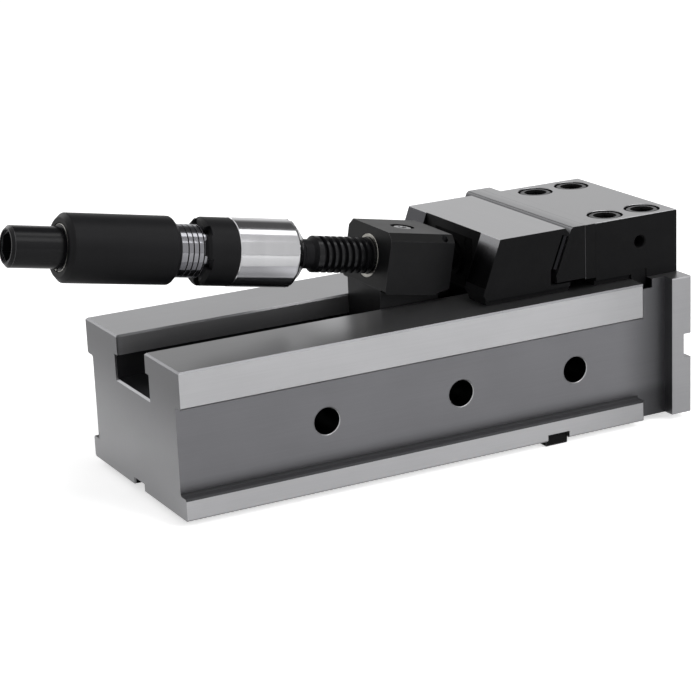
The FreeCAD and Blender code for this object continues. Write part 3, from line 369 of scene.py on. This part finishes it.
# the nut block's chamfers that face sideways and up are painted darker as shade
blockLook = dict(blackLook, specular=0.12, roughness=(0.34, 0.44), color="#0f0f10", paler="#171718",
                 chamfer={"sideways": (0.5, 0.9), "up": (0.5, 1.01)}, chamferShade=0.3)
# near black, as painted shade on parts in the jaw's pocket and at the bottoms of screw sockets
shadeBlackLook = dict(blackLook, specular=0.03, color="#060606", paler="#0a0a0b", roughness=(0.6, 0.7))

jawTop = 116
clampLine = 95.5
groundTop = {"z": (jawTop - 0.3, jawTop + 1), "up": (0.3, 1.01)}
jawLook = {
    "patches": {
        "slope": {"x": (0, 60), "right": (-1.01, -0.6), "across": (30.1, 51), "z": (90, jawTop + 1)},
        "clampFace": {"x": (clampLine - 0.1, clampLine + 0.1), "endways": (0.97, 1.01)},
        "joint": {"x": (clampLine - 0.25, clampLine + 0.25), "sideways": (0.15, 0.95), "across": (49.5, 70)},
        "incline": {"x": (60, 94.8), "endways": (0.5, 1.01)},
        "top": groundTop,
        "heel": {"x": (60, 94.8), "endways": (0.5, 1.01), "z": (jawTop - 4.5, jawTop + 1)},
        "seam": dict(groundTop, x=(clampLine - 0.35, clampLine + 0.35), endways=(0.05, 1.01)),
        "fixedTop": dict(groundTop, x=(89.5, 160)),
    },
    "bare": ("slope", "clampFace", "joint", "incline", "top"),
    "ground": "#b0b0b2",
    "clampFace": "#4a4a4c",
    "joint": "#5c5c5e",                 # the side edge where the jaws meet is bare, painted a little paler than the clamp faces as a highlight line
    # painted light: the rounded edges where the jaws meet on top are pale and matt, so no dark line shows
    # there
    "seam": "#9c9c9e",
    "heel": ("#565658", "#9a9a9c"),     # painted shade on the insert's slope in the notch, darker at its bottom
    "heelHeights": (jawTop - 3.2, jawTop - 0.3),
    "slope": ("#454548", "#868688"),    # the sloping back keeps a thin, glossy blackened skin; its near side's paler colour is painted light
    "slopeHeights": (-3.5, 4.5),        # edge of the painted light, across a line that falls to the near side; below it lies the nut block's painted shadow
    "slopeLine": (0.2, jawTop - 1.8),
    "paintedLightSide": {"y": (-51, -10)},
    "fixedTopShade": 0.86,              # the fixed jaw's top is coloured darker than the others
    "groundShade": (0.94, 1.06),
    "groundRoughness": 0.28,
    "slopeRoughness": 0.22,
    "grain": (0.6, 40, 0.6),            # jaws are ground across
}


def blackOxideSteel(name, look, jaw=None):      # hot-blackened steel; jaws are ground bright where they work, with painted light and shade on their backs, notch and top seam
    material, tree = newMaterial(name)
    place, spot = spotOf(tree)
    cloud = streaks(tree, place, look["cloud"], 4.0)
    grit = streaks(tree, place, look["grit"], 1.0)
    tones = linearColor(look["color"]), linearColor(look["paler"])
    color = addNode(tree, "Mix", cloud, *tones, data_type="RGBA")
    color = shade(tree, color, addNode(tree, "MapRange", grit, 0, 1, *look["gritShade"]))
    # painted shade on chamfers
    if "chamfer" in look:
        color = shade(tree, color, overlay(tree, spot, 1.0, [(look["chamferShade"], look["chamfer"])]))
    rough = addNode(tree, "MapRange", cloud, 0, 1, *look["roughness"])
    height, metallic = grit, 0.0
    if jaw:
        masks = {patch: patchOf(tree, spot, limits) for patch, limits in jaw["patches"].items()}
        color, bare, lines = jawColor(tree, spot, place, masks, color, jaw)
        # the notch's painted shade and the seam's painted light are matt
        matt = addNode(tree, "Math", masks["heel"], masks["seam"], operation="MAXIMUM")
        rough = addNode(tree, "Mix", bare, rough, jaw["groundRoughness"])
        rough = addNode(tree, "Mix", masks["slope"], rough, jaw["slopeRoughness"])
        height = addNode(tree, "Mix", bare, grit, lines)
        metallic = addNode(tree, "Mix", matt, bare, 0.0)
    addSurface(tree, {"Base Color": color, "Roughness": rough, "Metallic": metallic,
                      "Specular IOR Level": look["specular"]}, height, look["gritDepth"])
    return material


def jawColor(tree, spot, place, masks, color, jaw):     # bright working faces over the blackened colour, with painted light on the sloping back and the seam and painted shade in the notch
    bare = masks[jaw["bare"][0]]
    for patch in jaw["bare"][1:]:
        bare = addNode(tree, "Math", bare, masks[patch], operation="MAXIMUM")
    # painted light on the near side of the sloping back, above a falling line
    slant, base = jaw["slopeLine"]
    line = addNode(tree, "Math", spot["y"], slant, base, operation="MULTIPLY_ADD")
    above = addNode(tree, "Math", spot["z"], line, operation="SUBTRACT")
    pale = addNode(tree, "MapRange", above, *jaw["slopeHeights"], **smooth)
    pale = addNode(tree, "Math", pale, patchOf(tree, spot, jaw["paintedLightSide"]), operation="MULTIPLY")
    slopeColor = addNode(tree, "Mix", pale, *[linearColor(c) for c in jaw["slope"]], data_type="RGBA")
    # painted shade in the notch, darker at its bottom
    depth = addNode(tree, "MapRange", spot["z"], *jaw["heelHeights"], **smooth)
    heelColor = addNode(tree, "Mix", depth, *[linearColor(c) for c in jaw["heel"]], data_type="RGBA")
    lines = streaks(tree, place, jaw["grain"])
    tone = addNode(tree, "MapRange", lines, 0, 1, *jaw["groundShade"])
    tone = addNode(tree, "Mix", masks["fixedTop"], tone, jaw["fixedTopShade"])
    ground = shade(tree, linearColor(jaw["ground"]), tone)
    for patch, patchColor in (("slope", slopeColor), ("clampFace", linearColor(jaw["clampFace"])),
                              ("joint", linearColor(jaw["joint"])), ("incline", ground), ("top", ground),
                              ("heel", heelColor), ("seam", linearColor(jaw["seam"]))):
        color = addNode(tree, "Mix", masks[patch], color, patchColor, data_type="RGBA")
    return color, bare, lines


def turnedSteel(name, look):        # lathe-turned steel: fine rings round the spindle axis
    material, tree = newMaterial(name)
    place = alongSpindle(tree, addNode(tree, "TexCoord").outputs["Object"])
    rings = streaks(tree, place, look["rings"], 1.0)
    cloud = streaks(tree, place, look["cloud"], 3.0)
    tones = linearColor(look["color"]), linearColor(look["paler"])
    color = addNode(tree, "Mix", cloud, *tones, data_type="RGBA")
    color = shade(tree, color, addNode(tree, "MapRange", rings, 0, 1, *look["ringShade"]))
    if "inkBelow" in look:          # engraved lines are filled with black ink, up to this radius
        axes = addNode(tree, "SeparateXYZ", place).outputs
        radius = addNode(tree, "VectorMath", addNode(tree, "CombineXYZ", 0.0, axes["Y"], axes["Z"]),
                         operation="LENGTH")
        inked = addNode(tree, "Math", radius, look["inkBelow"], operation="LESS_THAN")
        color = addNode(tree, "Mix", inked, color, linearColor(look["ink"]), data_type="RGBA")
    rough = addNode(tree, "MapRange", cloud, 0, 1, *look["roughness"])
    addSurface(tree, {"Base Color": color, "Roughness": rough, "Metallic": look.get("metallic", 1.0),
                      "Specular IOR Level": look.get("specular", 0.5)}, rings, look["ringDepth"])
    return material


# Turned surfaces: real feed marks are 0.1 mm apart, and are drawn wider so that they show
cylinderLook = {"color": "#b4b4b6", "paler": "#c6c6c8", "rings": (0.8, 60, 60), "cloud": (12, 18, 18),
                "ringShade": (0.96, 1.04), "roughness": (0.10, 0.16), "ringDepth": 0.001 * mm}
scaleLook = {"color": "#7f7f83", "paler": "#89898d", "rings": (0.6, 60, 60), "cloud": (9, 12, 12),
             "ringShade": (0.92, 1.08), "roughness": (0.10, 0.14), "ringDepth": 0.003 * mm,
             "ink": "#0a0a0a", "inkBelow": 13.9 * mm}
bushLook = {"color": "#9a9892", "paler": "#a8a6a0", "rings": (0.6, 40, 40), "cloud": (5, 6, 6),
            "ringShade": (0.94, 1.06), "roughness": (0.24, 0.32), "ringDepth": 0.002 * mm}
screwLook = {"color": "#6c6c6e", "paler": "#7c7c7e", "rings": (0.7, 0.7, 0.7), "cloud": (4, 4, 4),
             "ringShade": (0.93, 1.07), "roughness": (0.20, 0.30), "ringDepth": 0.003 * mm}
hardenedLook = {"color": "#5c5c5e", "paler": "#6a6a6c", "rings": (0.8, 30, 30), "cloud": (7, 7, 7),
                "ringShade": (0.9, 1.1), "roughness": (0.30, 0.38), "ringDepth": 0.003 * mm}
springLook = {"color": "#6d6d70", "paler": "#86868a", "rings": (3, 3, 3), "cloud": (3, 3, 3),
              "ringShade": (0.9, 1.1), "roughness": (0.28, 0.36), "ringDepth": 0.002 * mm}
threadLook = {"color": "#101011", "paler": "#1a1a1c", "rings": (0.7, 40, 40), "cloud": (6, 5, 5),
              "ringShade": (0.85, 1.15), "roughness": (0.38, 0.48), "ringDepth": 0.004 * mm,
              "metallic": 0.0, "specular": 0.08}
crestLook = {"color": "#0c0c0d", "paler": "#141416", "rings": (0.7, 40, 40), "cloud": (3, 3, 3),
             "ringShade": (0.85, 1.15), "roughness": (0.20, 0.27), "ringDepth": 0.002 * mm,
             "metallic": 0.0, "specular": 0.24}
gripLook = {"color": "#101011", "paler": "#161618", "rings": (0.9, 50, 50), "cloud": (20, 14, 14),
            "ringShade": (0.9, 1.1), "roughness": (0.40, 0.50), "ringDepth": 0.004 * mm,
            "metallic": 0.0, "specular": 0.12}
shaftLook = dict(gripLook, roughness=(0.20, 0.26), specular=0.14)
capScrewLook = {"color": "#3c3c3f", "paler": "#4a4a4d", "rings": (0.8, 0.8, 0.8), "cloud": (5, 5, 5),
                "ringShade": (0.88, 1.12), "roughness": (0.30, 0.40), "ringDepth": 0.004 * mm}
# near black: painted shade on the slide plate, whose end lies recessed in the jaw's side
slideLook = dict(hardenedLook, color="#1c1c1e", paler="#262628")
# pale, rough edge colour: a painted highlight along rounded edges
highlightEdgeLook = dict(bushLook, color="#dcdad4", paler="#e6e4de", roughness=(0.45, 0.55))
retainerLook = dict(springLook, color="#29292b", paler="#333335")
wornLook = {"color": "#4a4a4c", "paler": "#7a7a7d", "rings": (1.2, 1.2, 1.2), "cloud": (6, 6, 6),
            "ringShade": (0.8, 1.2), "roughness": (0.26, 0.38), "ringDepth": 0.002 * mm}
rubberLook = {"color": "#151515", "paler": "#222222", "mottle": (1.5, 1.5, 1.5), "roughness": 0.6,
              "specular": 0.3, "mottleDepth": 0.002 * mm}


def nitrileRubber(look):            # moulded seal rubber: black, matt, finely mottled
    material, tree = newMaterial("nitrileRubber")
    mottle = streaks(tree, addNode(tree, "TexCoord").outputs["Object"], look["mottle"], 3.0)
    tones = linearColor(look["color"]), linearColor(look["paler"])
    color = addNode(tree, "Mix", mottle, *tones, data_type="RGBA")
    addSurface(tree, {"Base Color": color, "Roughness": look["roughness"], "Metallic": 0.0,
                      "Specular IOR Level": look["specular"]}, mottle, look["mottleDepth"])
    return material


finish = {
    "ground_steel": groundToolSteel(groundLook),
    "blackened_steel": blackOxideSteel("blackOxideSteel", blackLook),
    "blackened_screw": turnedSteel("blackenedCapScrewSteel", capScrewLook),
    "blackened_grip": turnedSteel("blackenedGripSteel", gripLook),
    "polished_steel": turnedSteel("polishedCylinderSteel", cylinderLook),
    "scale_steel": turnedSteel("turnedScaleSteel", scaleLook),
    "bright_screw": turnedSteel("brightScrewSteel", screwLook),
    "bronze": turnedSteel("castTinBronze", bushLook),
    "thread_steel": turnedSteel("blackenedThreadSteel", threadLook),
    "hardened_steel": turnedSteel("hardenedToolSteel", hardenedLook),
    "spring_steel": turnedSteel("temperedSpringSteel", springLook),
    "seal_rubber": nitrileRubber(rubberLook),
}
jawSteel = blackOxideSteel("blackOxideJawSteel", blackLook, jawLook)
blockSteel = blackOxideSteel("blackOxideBlockSteel", blockLook)
shadeBlackSteel = blackOxideSteel("paintedShadeBlackSteel", shadeBlackLook)
shaftSteel = turnedSteel("blackenedShaftSteel", shaftLook)
slideSteel = turnedSteel("shadedHardenedSlideSteel", slideLook)
highlightEdge = turnedSteel("paintedHighlightEdge", highlightEdgeLook)
retainerSteel = turnedSteel("blackenedRetainerSteel", retainerLook)
crestSteel = turnedSteel("wornThreadCrestSteel", crestLook)
wornSteel = turnedSteel("wornBlackenedEdge", wornLook)         # blackening rubbed off along the edges

slotOf = {}
for name, node in frame["nodes"].items():
    slotOf[name] = node.material_slots[0].material.name
    for slot in node.material_slots:
        slot.material = finish[slot.material.name]
report("materials")


# Machined pieces: a merged copy of the CAD node with its sharp edges rounded as on the real one

roundedPieces = {
    "base": {"edge": 0.30, "body": "base"},
    "table_keys": {"edge": 0.30, "body": "base", "edges": wornSteel},
    "fixed_jaw": {"edge": 0.25, "body": "base", "finish": jawSteel},
    "fixed_jaw_key": {"edge": 0.20, "body": "base"},
    "fixed_jaw_plate": {"edge": 0.18, "body": "base", "finish": jawSteel},
    "movable_jaw": {"edge": 0.25, "body": "movable_jaw", "finish": jawSteel},
    "slide_plate": {"edge": 0.5, "body": "movable_jaw", "finish": slideSteel},
    "jaw_keep": {"edge": 0.30, "body": "movable_jaw"},
    "pad_keeper": {"edge": 0.25, "body": "movable_jaw", "finish": shadeBlackSteel},
    "jaw_insert": {"edge": 0, "body": "jaw_insert", "finish": jawSteel},
    "thrust_pad": {"edge": 0.25, "body": "thrust_pad", "finish": shadeBlackSteel},
    "nut_block": {"edge": 0.40, "body": "nut_carriage", "finish": blockSteel, "edges": wornSteel},
    "nut_bush": {"edge": 0.45, "body": "nut_carriage", "edges": highlightEdge},
    "cylinder_ring_nut": {"edge": 0.25, "body": "spindle"},
    "force_scale_sleeve": {"edge": 0.10, "body": "spindle"},
    "grip_sleeve": {"edge": 0.35, "body": "drive"},
    "drive_shaft": {"edge": 0.30, "body": "drive", "finish": shaftSteel, "edges": wornSteel},
    "grip_retaining_ring": {"edge": 0.20, "body": "drive", "finish": retainerSteel, "edges": highlightEdge},
}
pocketShadeNodes = ("push_rod", "pad_snap_ring", "pad_keeper_screws")      # painted shade: they lie in the dark of the jaw's pocket and are coloured near black

mergeGap = 0.002 * mm               # corners of the CAD triangles that lie this close are one
flatWithin = radians(0.5)           # faces that meet flatter than this become one
roundFrom = radians(35)             # edges sharper than this are rounded


def chooseOnly(piece):              # selected and active, with everything else deselected
    bpy.ops.object.select_all(action="DESELECT")
    piece.select_set(True)
    bpy.context.view_layer.objects.active = piece


def startEdit(piece):
    chooseOnly(piece)
    bpy.ops.object.mode_set(mode="EDIT")
    bpy.ops.mesh.select_all(action="SELECT")


def endEdit():
    bpy.ops.object.mode_set(mode="OBJECT")


def pick(piece, kind, test):                # edit mode with only those faces or edges chosen that pass a test
    startEdit(piece)
    bpy.ops.mesh.select_mode(type=kind)
    bpy.ops.mesh.select_all(action="DESELECT")
    endEdit()
    mesh = piece.data
    if kind == "FACE":
        for face in mesh.polygons:
            face.select = test(face)
    else:
        for edge in mesh.edges:
            edge.select = test(*[mesh.vertices[v].co / mm for v in edge.vertices])
    bpy.ops.object.mode_set(mode="EDIT")


def copyNode(nodeName, pieceName):
    chooseOnly(frame["nodes"][nodeName])
    bpy.ops.object.duplicate()
    piece = bpy.context.object
    piece.name = pieceName
    bpy.ops.object.parent_clear(type="CLEAR_KEEP_TRANSFORM")
    bpy.ops.mesh.customdata_custom_splitnormals_clear()
    startEdit(piece)
    bpy.ops.mesh.remove_doubles(threshold=mergeGap)
    bpy.ops.mesh.dissolve_limited(angle_limit=flatWithin)
    endEdit()
    return piece


def useMaterials(piece, *materials):
    piece.data.materials.clear()
    for material in materials:
        piece.data.materials.append(material)


def roundEdges(piece, width, edgeMaterial=-1):
    bevel = piece.modifiers.new("edges", "BEVEL")
    bevel.width = width * mm
    bevel.segments = 2
    bevel.limit_method = "ANGLE"
    bevel.angle_limit = roundFrom
    bevel.material = edgeMaterial
    chooseOnly(piece)
    bpy.ops.object.modifier_apply(modifier="edges")


def smoothFaces(piece, angle=50):
    chooseOnly(piece)
    bpy.ops.object.shade_smooth_by_angle(angle=radians(angle))
    weighted = piece.modifiers.new("normals", "WEIGHTED_NORMAL")
    weighted.keep_sharp = True
    bpy.ops.object.modifier_apply(modifier="normals")


def finishPiece(piece, body, *nodes):
    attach(piece, body)
    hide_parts(*nodes)


for nodeName, look in roundedPieces.items():
    piece = copyNode(nodeName, nodeName + "_rounded")
    material = look.get("finish", finish[slotOf[nodeName]])
    useMaterials(piece, material, look.get("edges", material))
    if look["edge"]:
        roundEdges(piece, look["edge"], 1)
    smoothFaces(piece)
    finishPiece(piece, look["body"], nodeName)
for nodeName in pocketShadeNodes:
    frame["nodes"][nodeName].material_slots[0].material = shadeBlackSteel
report("machined pieces")


# Booster cylinder: its front end is turned round, its back edge stays crisp

cylinderShape = {
    "front": -106.5,            # along the spindle, from the ball
    "shoulder": 3.6,
    "frontRound": 1.3,
    "edge": 0.2,
    "mouth": 12,                # rims smaller than this stay sharp, and so does the one below
    "sharpRim": 15.9,
}


def fromBall(point):                        # a place in mm as x along the spindle from the ball, and a radius
    turned = Matrix.Rotation(-spindleAxis["tilt"], 3, "Y") @ (point - Vector(spindleAxis["ball"]) / mm)
    return turned.x, Vector((turned.y, turned.z)).length


def roundCylinder(shape):
    piece = copyNode("booster_cylinder", "booster_cylinder_rounded")
    useMaterials(piece, finish["polished_steel"])

    def onRound(a, b):                      # rim edges at the shoulder and at the front face
        (xa, ra), (xb, rb) = fromBall(a), fromBall(b)
        atFront = xa > shape["front"] - shape["shoulder"] - 0.1 and ra > shape["mouth"]
        level = abs(xa - xb) < 0.05 and abs(ra - rb) < 0.05
        return level and atFront and abs(ra - shape["sharpRim"]) > 0.3

    pick(piece, "EDGE", onRound)
    bpy.ops.mesh.bevel(offset=shape["frontRound"] * mm, segments=4, affect="EDGES")
    endEdit()
    roundEdges(piece, shape["edge"])
    smoothFaces(piece)
    finishPiece(piece, "spindle", "booster_cylinder")


roundCylinder(cylinderShape)
report("booster cylinder")


# Spindle thread: trapezoidal, right-handed, cut into a copy of the plain spindle

threadShape = {
    "pitch": 4.0,
    "root": 8.02,               # radius at the bottom of the groove
    "reach": 10.4,              # the cutter stands out of the crest at 10 mm
    "rootWidth": 1.46,
    "reachWidth": 2.75,
    "start": -90.5,             # from the ball; the crest runs plain from there to the neck
    "turns": 21,
    "steps": 48,
    "crest": (9.9, 10.2),       # radii of the crest's polished faces
    "crestFrom": -95,
}


def cut(piece, *tools):
    chooseOnly(piece)
    for tool in tools:
        carve = piece.modifiers.new("cut", "BOOLEAN")
        carve.object = tool
        carve.solver = "EXACT"
        bpy.ops.object.modifier_apply(modifier="cut")
        bpy.data.objects.remove(tool)


def layOnSpindle(piece, offset=(0, 0, 0)):  # from a mesh made along X to the inclined axis, ball at 0
    turn = Matrix.Rotation(spindleAxis["tilt"], 3, "Y")
    piece.rotation_euler = (0, spindleAxis["tilt"], 0)
    piece.location = Vector(spindleAxis["ball"]) + turn @ (Vector(offset) * mm)
    applyPlace(piece)


def applyPlace(piece):
    chooseOnly(piece)
    bpy.ops.object.transform_apply(location=True, rotation=True, scale=True)


def wind(piece, axis, pitch, turns, steps):     # a flat outline is turned into a closed helix
    screw = piece.modifiers.new("helix", "SCREW")
    screw.axis = axis
    screw.angle = 2 * pi
    screw.screw_offset = pitch * mm
    screw.iterations = turns
    screw.steps = steps
    screw.render_steps = steps
    chooseOnly(piece)
    bpy.ops.object.modifier_apply(modifier="helix")
    startEdit(piece)
    bpy.ops.mesh.remove_doubles(threshold=mergeGap / 2)
    bpy.ops.mesh.select_all(action="SELECT")
    bpy.ops.mesh.fill_holes(sides=0)
    bpy.ops.mesh.select_all(action="SELECT")
    bpy.ops.mesh.normals_make_consistent(inside=False)
    endEdit()


def threadCutter(shape):
    bpy.ops.object.select_all(action="DESELECT")
    bpy.ops.mesh.primitive_plane_add(size=mm, rotation=(pi / 2, 0, 0))
    tool = bpy.context.object
    applyPlace(tool)
    startEdit(tool)
    bpy.ops.transform.resize(value=(shape["reachWidth"], 1, shape["reach"] - shape["root"]))
    endEdit()
    pick(tool, "EDGE", lambda a, b: a.z < 0 and b.z < 0)
    bpy.ops.transform.resize(value=(shape["rootWidth"] / shape["reachWidth"], 1, 1))
    bpy.ops.mesh.select_all(action="SELECT")
    middle = (shape["root"] + shape["reach"]) / 2
    bpy.ops.transform.translate(value=(shape["start"] * mm, 0, middle * mm))
    endEdit()
    wind(tool, "X", shape["pitch"], shape["turns"], shape["steps"])
    layOnSpindle(tool)
    return tool


def cutThread(shape):
    piece = copyNode("threaded_spindle", "threaded_spindle_cut")
    useMaterials(piece, finish["thread_steel"], crestSteel)
    cut(piece, threadCutter(shape))
    for face in piece.data.polygons:
        along, radius = fromBall(face.center / mm)
        if shape["crest"][0] < radius < shape["crest"][1] and along > shape["crestFrom"]:
            face.material_index = 1
    smoothFaces(piece, 30)
    finishPiece(piece, "spindle", "threaded_spindle")
    report("thread faces " + str(len(piece.data.polygons)))


cutThread(threadShape)


# Socket head screws: knurled head, flared hexagon with a drilled bottom

capScrews = {
    "fixed_jaw_screws": {"head": 18, "height": 12, "shank": 12, "length": 45, "hexagon": 10, "socket": 6,
                         "rim": 0.75, "ridges": 44, "body": "base", "turn": (0, 0, 0),
                         "places": [(x, y, 103.5) for x in (118, 143) for y in (-36, 36)]},
    "table_key_screws": {"head": 8.5, "height": 5, "shank": 5, "length": 10, "hexagon": 4, "socket": 2.5,
                         "rim": 0.31, "ridges": 30, "body": "base", "turn": (pi, 0, 0),
                         "places": [(68.5, y, 2.0) for y in (-45, 45)]},
    "jaw_keep_screws": {"head": 13, "height": 8, "shank": 8, "length": 31, "hexagon": 6, "socket": 4,
                        "rim": 0.5, "ridges": 36, "body": "movable_jaw", "turn": (pi, 0, 0),
                        "places": [(63.0, y, 65.5) for y in (-10, 10)]},
    "nut_lock_screw": {"head": 10, "height": 2.8, "shank": 6, "length": 2.1, "hexagon": 4, "socket": 1.6,
                       "rim": 0.5, "ridges": 0, "body": "nut_carriage", "onSpindle": (-39.5, 0, 13.5)},
}
screwShape = {
    "tip": 0.88,                    # the shank's end is turned down to this share
    "tipLength": 0.1,               # as a share of the shank's radius
    "knurl": (0.08, 0.85),          # shares of the head's height
    "ridgeDepth": 0.28,
    "drill": (0.82, 0.25),          # radius and depth of the drilled bottom, shares of the hexagon's corner
    "drillPoint": 0.05,
    "flare": (0.9, 1.14, 0.22),     # inner and outer radius and depth of the socket's flare
}


def addRound(name, vertices, radius, low, high, tip=None):      # upright cylinder or cone, heights in mm
    bpy.ops.object.select_all(action="DESELECT")
    common = {"vertices": vertices, "depth": (high - low) * mm, "location": (0, 0, (low + high) / 2 * mm)}
    if tip is None:
        bpy.ops.mesh.primitive_cylinder_add(radius=radius * mm, **common)
    else:
        bpy.ops.mesh.primitive_cone_add(radius1=radius * mm, radius2=tip * mm, **common)
    piece = bpy.context.object
    piece.name = name
    applyPlace(piece)
    return piece


def knurl(piece, ridges, head, height, shape):      # every other edge round the head is drawn in
    for share in shape["knurl"]:
        startEdit(piece)
        bpy.ops.mesh.bisect(plane_co=(0, 0, share * height * mm), plane_no=(0, 0, 1))
        endEdit()

    def ridge(a, b):
        upright = abs(a.z - b.z) >= 0.5 * height and min(a.z, b.z) >= 0.05 * height
        if not upright or a.xy.length < head - 0.1:
            return False
        return round(a.xy.angle_signed(Vector((1, 0)), 0) / pi * ridges) % 2 == 0

    pick(piece, "EDGE", ridge)
    narrow = 1 - shape["ridgeDepth"] / head
    bpy.ops.transform.resize(value=(narrow, narrow, 1), center_override=(0, 0, 0))
    endEdit()


def capScrew(name, look, shape, material):
    head, height, shank = look["head"] / 2, look["height"], look["shank"] / 2
    tip = shape["tipLength"] * shank
    piece = addRound(name, max(2 * look["ridges"], 64), head, 0, height)
    pick(piece, "EDGE", lambda a, b: min(a.z, b.z) > height - 0.01)
    bpy.ops.mesh.bevel(offset=look["rim"] * mm, segments=2, affect="EDGES")
    endEdit()
    pick(piece, "FACE", lambda face: face.normal.z < -0.9)
    bpy.ops.mesh.extrude_region_move()
    bpy.ops.transform.resize(value=(shank / head, shank / head, 1), center_override=(0, 0, 0))
    for length in (look["length"] - tip, tip):
        bpy.ops.mesh.extrude_region_move(TRANSFORM_OT_translate={"value": (0, 0, -length * mm)})
    bpy.ops.transform.resize(value=(shape["tip"], shape["tip"], 1), center_override=(0, 0, 0))
    endEdit()
    if look["ridges"]:
        knurl(piece, look["ridges"], head, height, shape)
    corner = look["hexagon"] / 3 ** 0.5
    deep = height - look["socket"]
    hexagon = addRound("hexagonTool", 6, corner, deep, height + 1)
    hexagon.rotation_euler = (0, 0, pi / 6)
    applyPlace(hexagon)
    radius, depth = [share * corner for share in shape["drill"]]
    drill = addRound("drillTool", 40, radius, deep - depth, deep + 0.01, radius)
    pick(drill, "FACE", lambda face: face.normal.z < -0.9)
    bpy.ops.transform.resize(value=(shape["drillPoint"], shape["drillPoint"], 1))
    endEdit()
    inner, outer, depth = [share * corner for share in shape["flare"]]
    flare = addRound("flareTool", 48, inner, height - depth, height + 0.01, outer)
    cut(piece, hexagon, drill, flare)
    useMaterials(piece, material, shadeBlackSteel)
    for face in piece.data.polygons:            # no light reaches the bottom of the blackened sockets
        middle = face.center / mm
        inSocket = middle.xy.length < outer and deep - corner < middle.z < height - 0.03
        if look["ridges"] and inSocket:
            face.material_index = 1
    return piece


def placeCopies(piece, name, places, turn):
    copies = []
    for place in places:
        chooseOnly(piece)
        bpy.ops.object.duplicate()
        copy = bpy.context.object
        copy.location = Vector(place) * mm
        copy.rotation_euler = turn
        applyPlace(copy)
        copies.append(copy)
    bpy.data.objects.remove(piece)
    chooseOnly(copies[0])
    for copy in copies:
        copy.select_set(True)
    bpy.ops.object.join()
    copies[0].name = name
    return copies[0]


for nodeName, look in capScrews.items():
    piece = capScrew(nodeName + "_model", look, screwShape, finish[slotOf[nodeName]])
    if "places" in look:
        piece = placeCopies(piece, nodeName + "_knurled", look["places"], look["turn"])
    else:
        layOnSpindle(piece, look["onSpindle"])
        piece.name = nodeName + "_turned"
    smoothFaces(piece, 30)
    finishPiece(piece, look["body"], nodeName)
report("cap screws")


# Insert springs: round wire coils between the jaw's seats and the insert

springShape = {
    "x": 81.15,
    "y": 38,
    "low": 83.9,
    "high": 93.9,
    "outer": 6.0,
    "wire": 0.9,
    "wireSides": 10,
    "turns": 6,
    "steps": 24,
    "keep": 0.926,              # share of the length that is left at the end of the pull-down
}


def coilSprings(shape):
    half = shape["wire"] / 2
    bpy.ops.object.select_all(action="DESELECT")
    bpy.ops.mesh.primitive_circle_add(vertices=shape["wireSides"], radius=half * mm, rotation=(pi / 2, 0, 0))
    wire = bpy.context.object
    applyPlace(wire)
    startEdit(wire)
    bpy.ops.transform.translate(value=((shape["outer"] / 2 - half) * mm, 0, (shape["low"] + half) * mm))
    endEdit()
    pitch = (shape["high"] - shape["low"] - shape["wire"]) / shape["turns"]
    wind(wire, "Z", pitch, shape["turns"], shape["steps"])
    places = [(shape["x"], side * shape["y"], 0) for side in (-1, 1)]
    springs = placeCopies(wire, "insert_springs_coiled", places, (0, 0, 0))
    useMaterials(springs, finish["spring_steel"])
    smoothFaces(springs, 60)
    finishPiece(springs, "movable_jaw", "insert_springs")
    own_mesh(springs)


coilSprings(springShape)
report("insert springs")
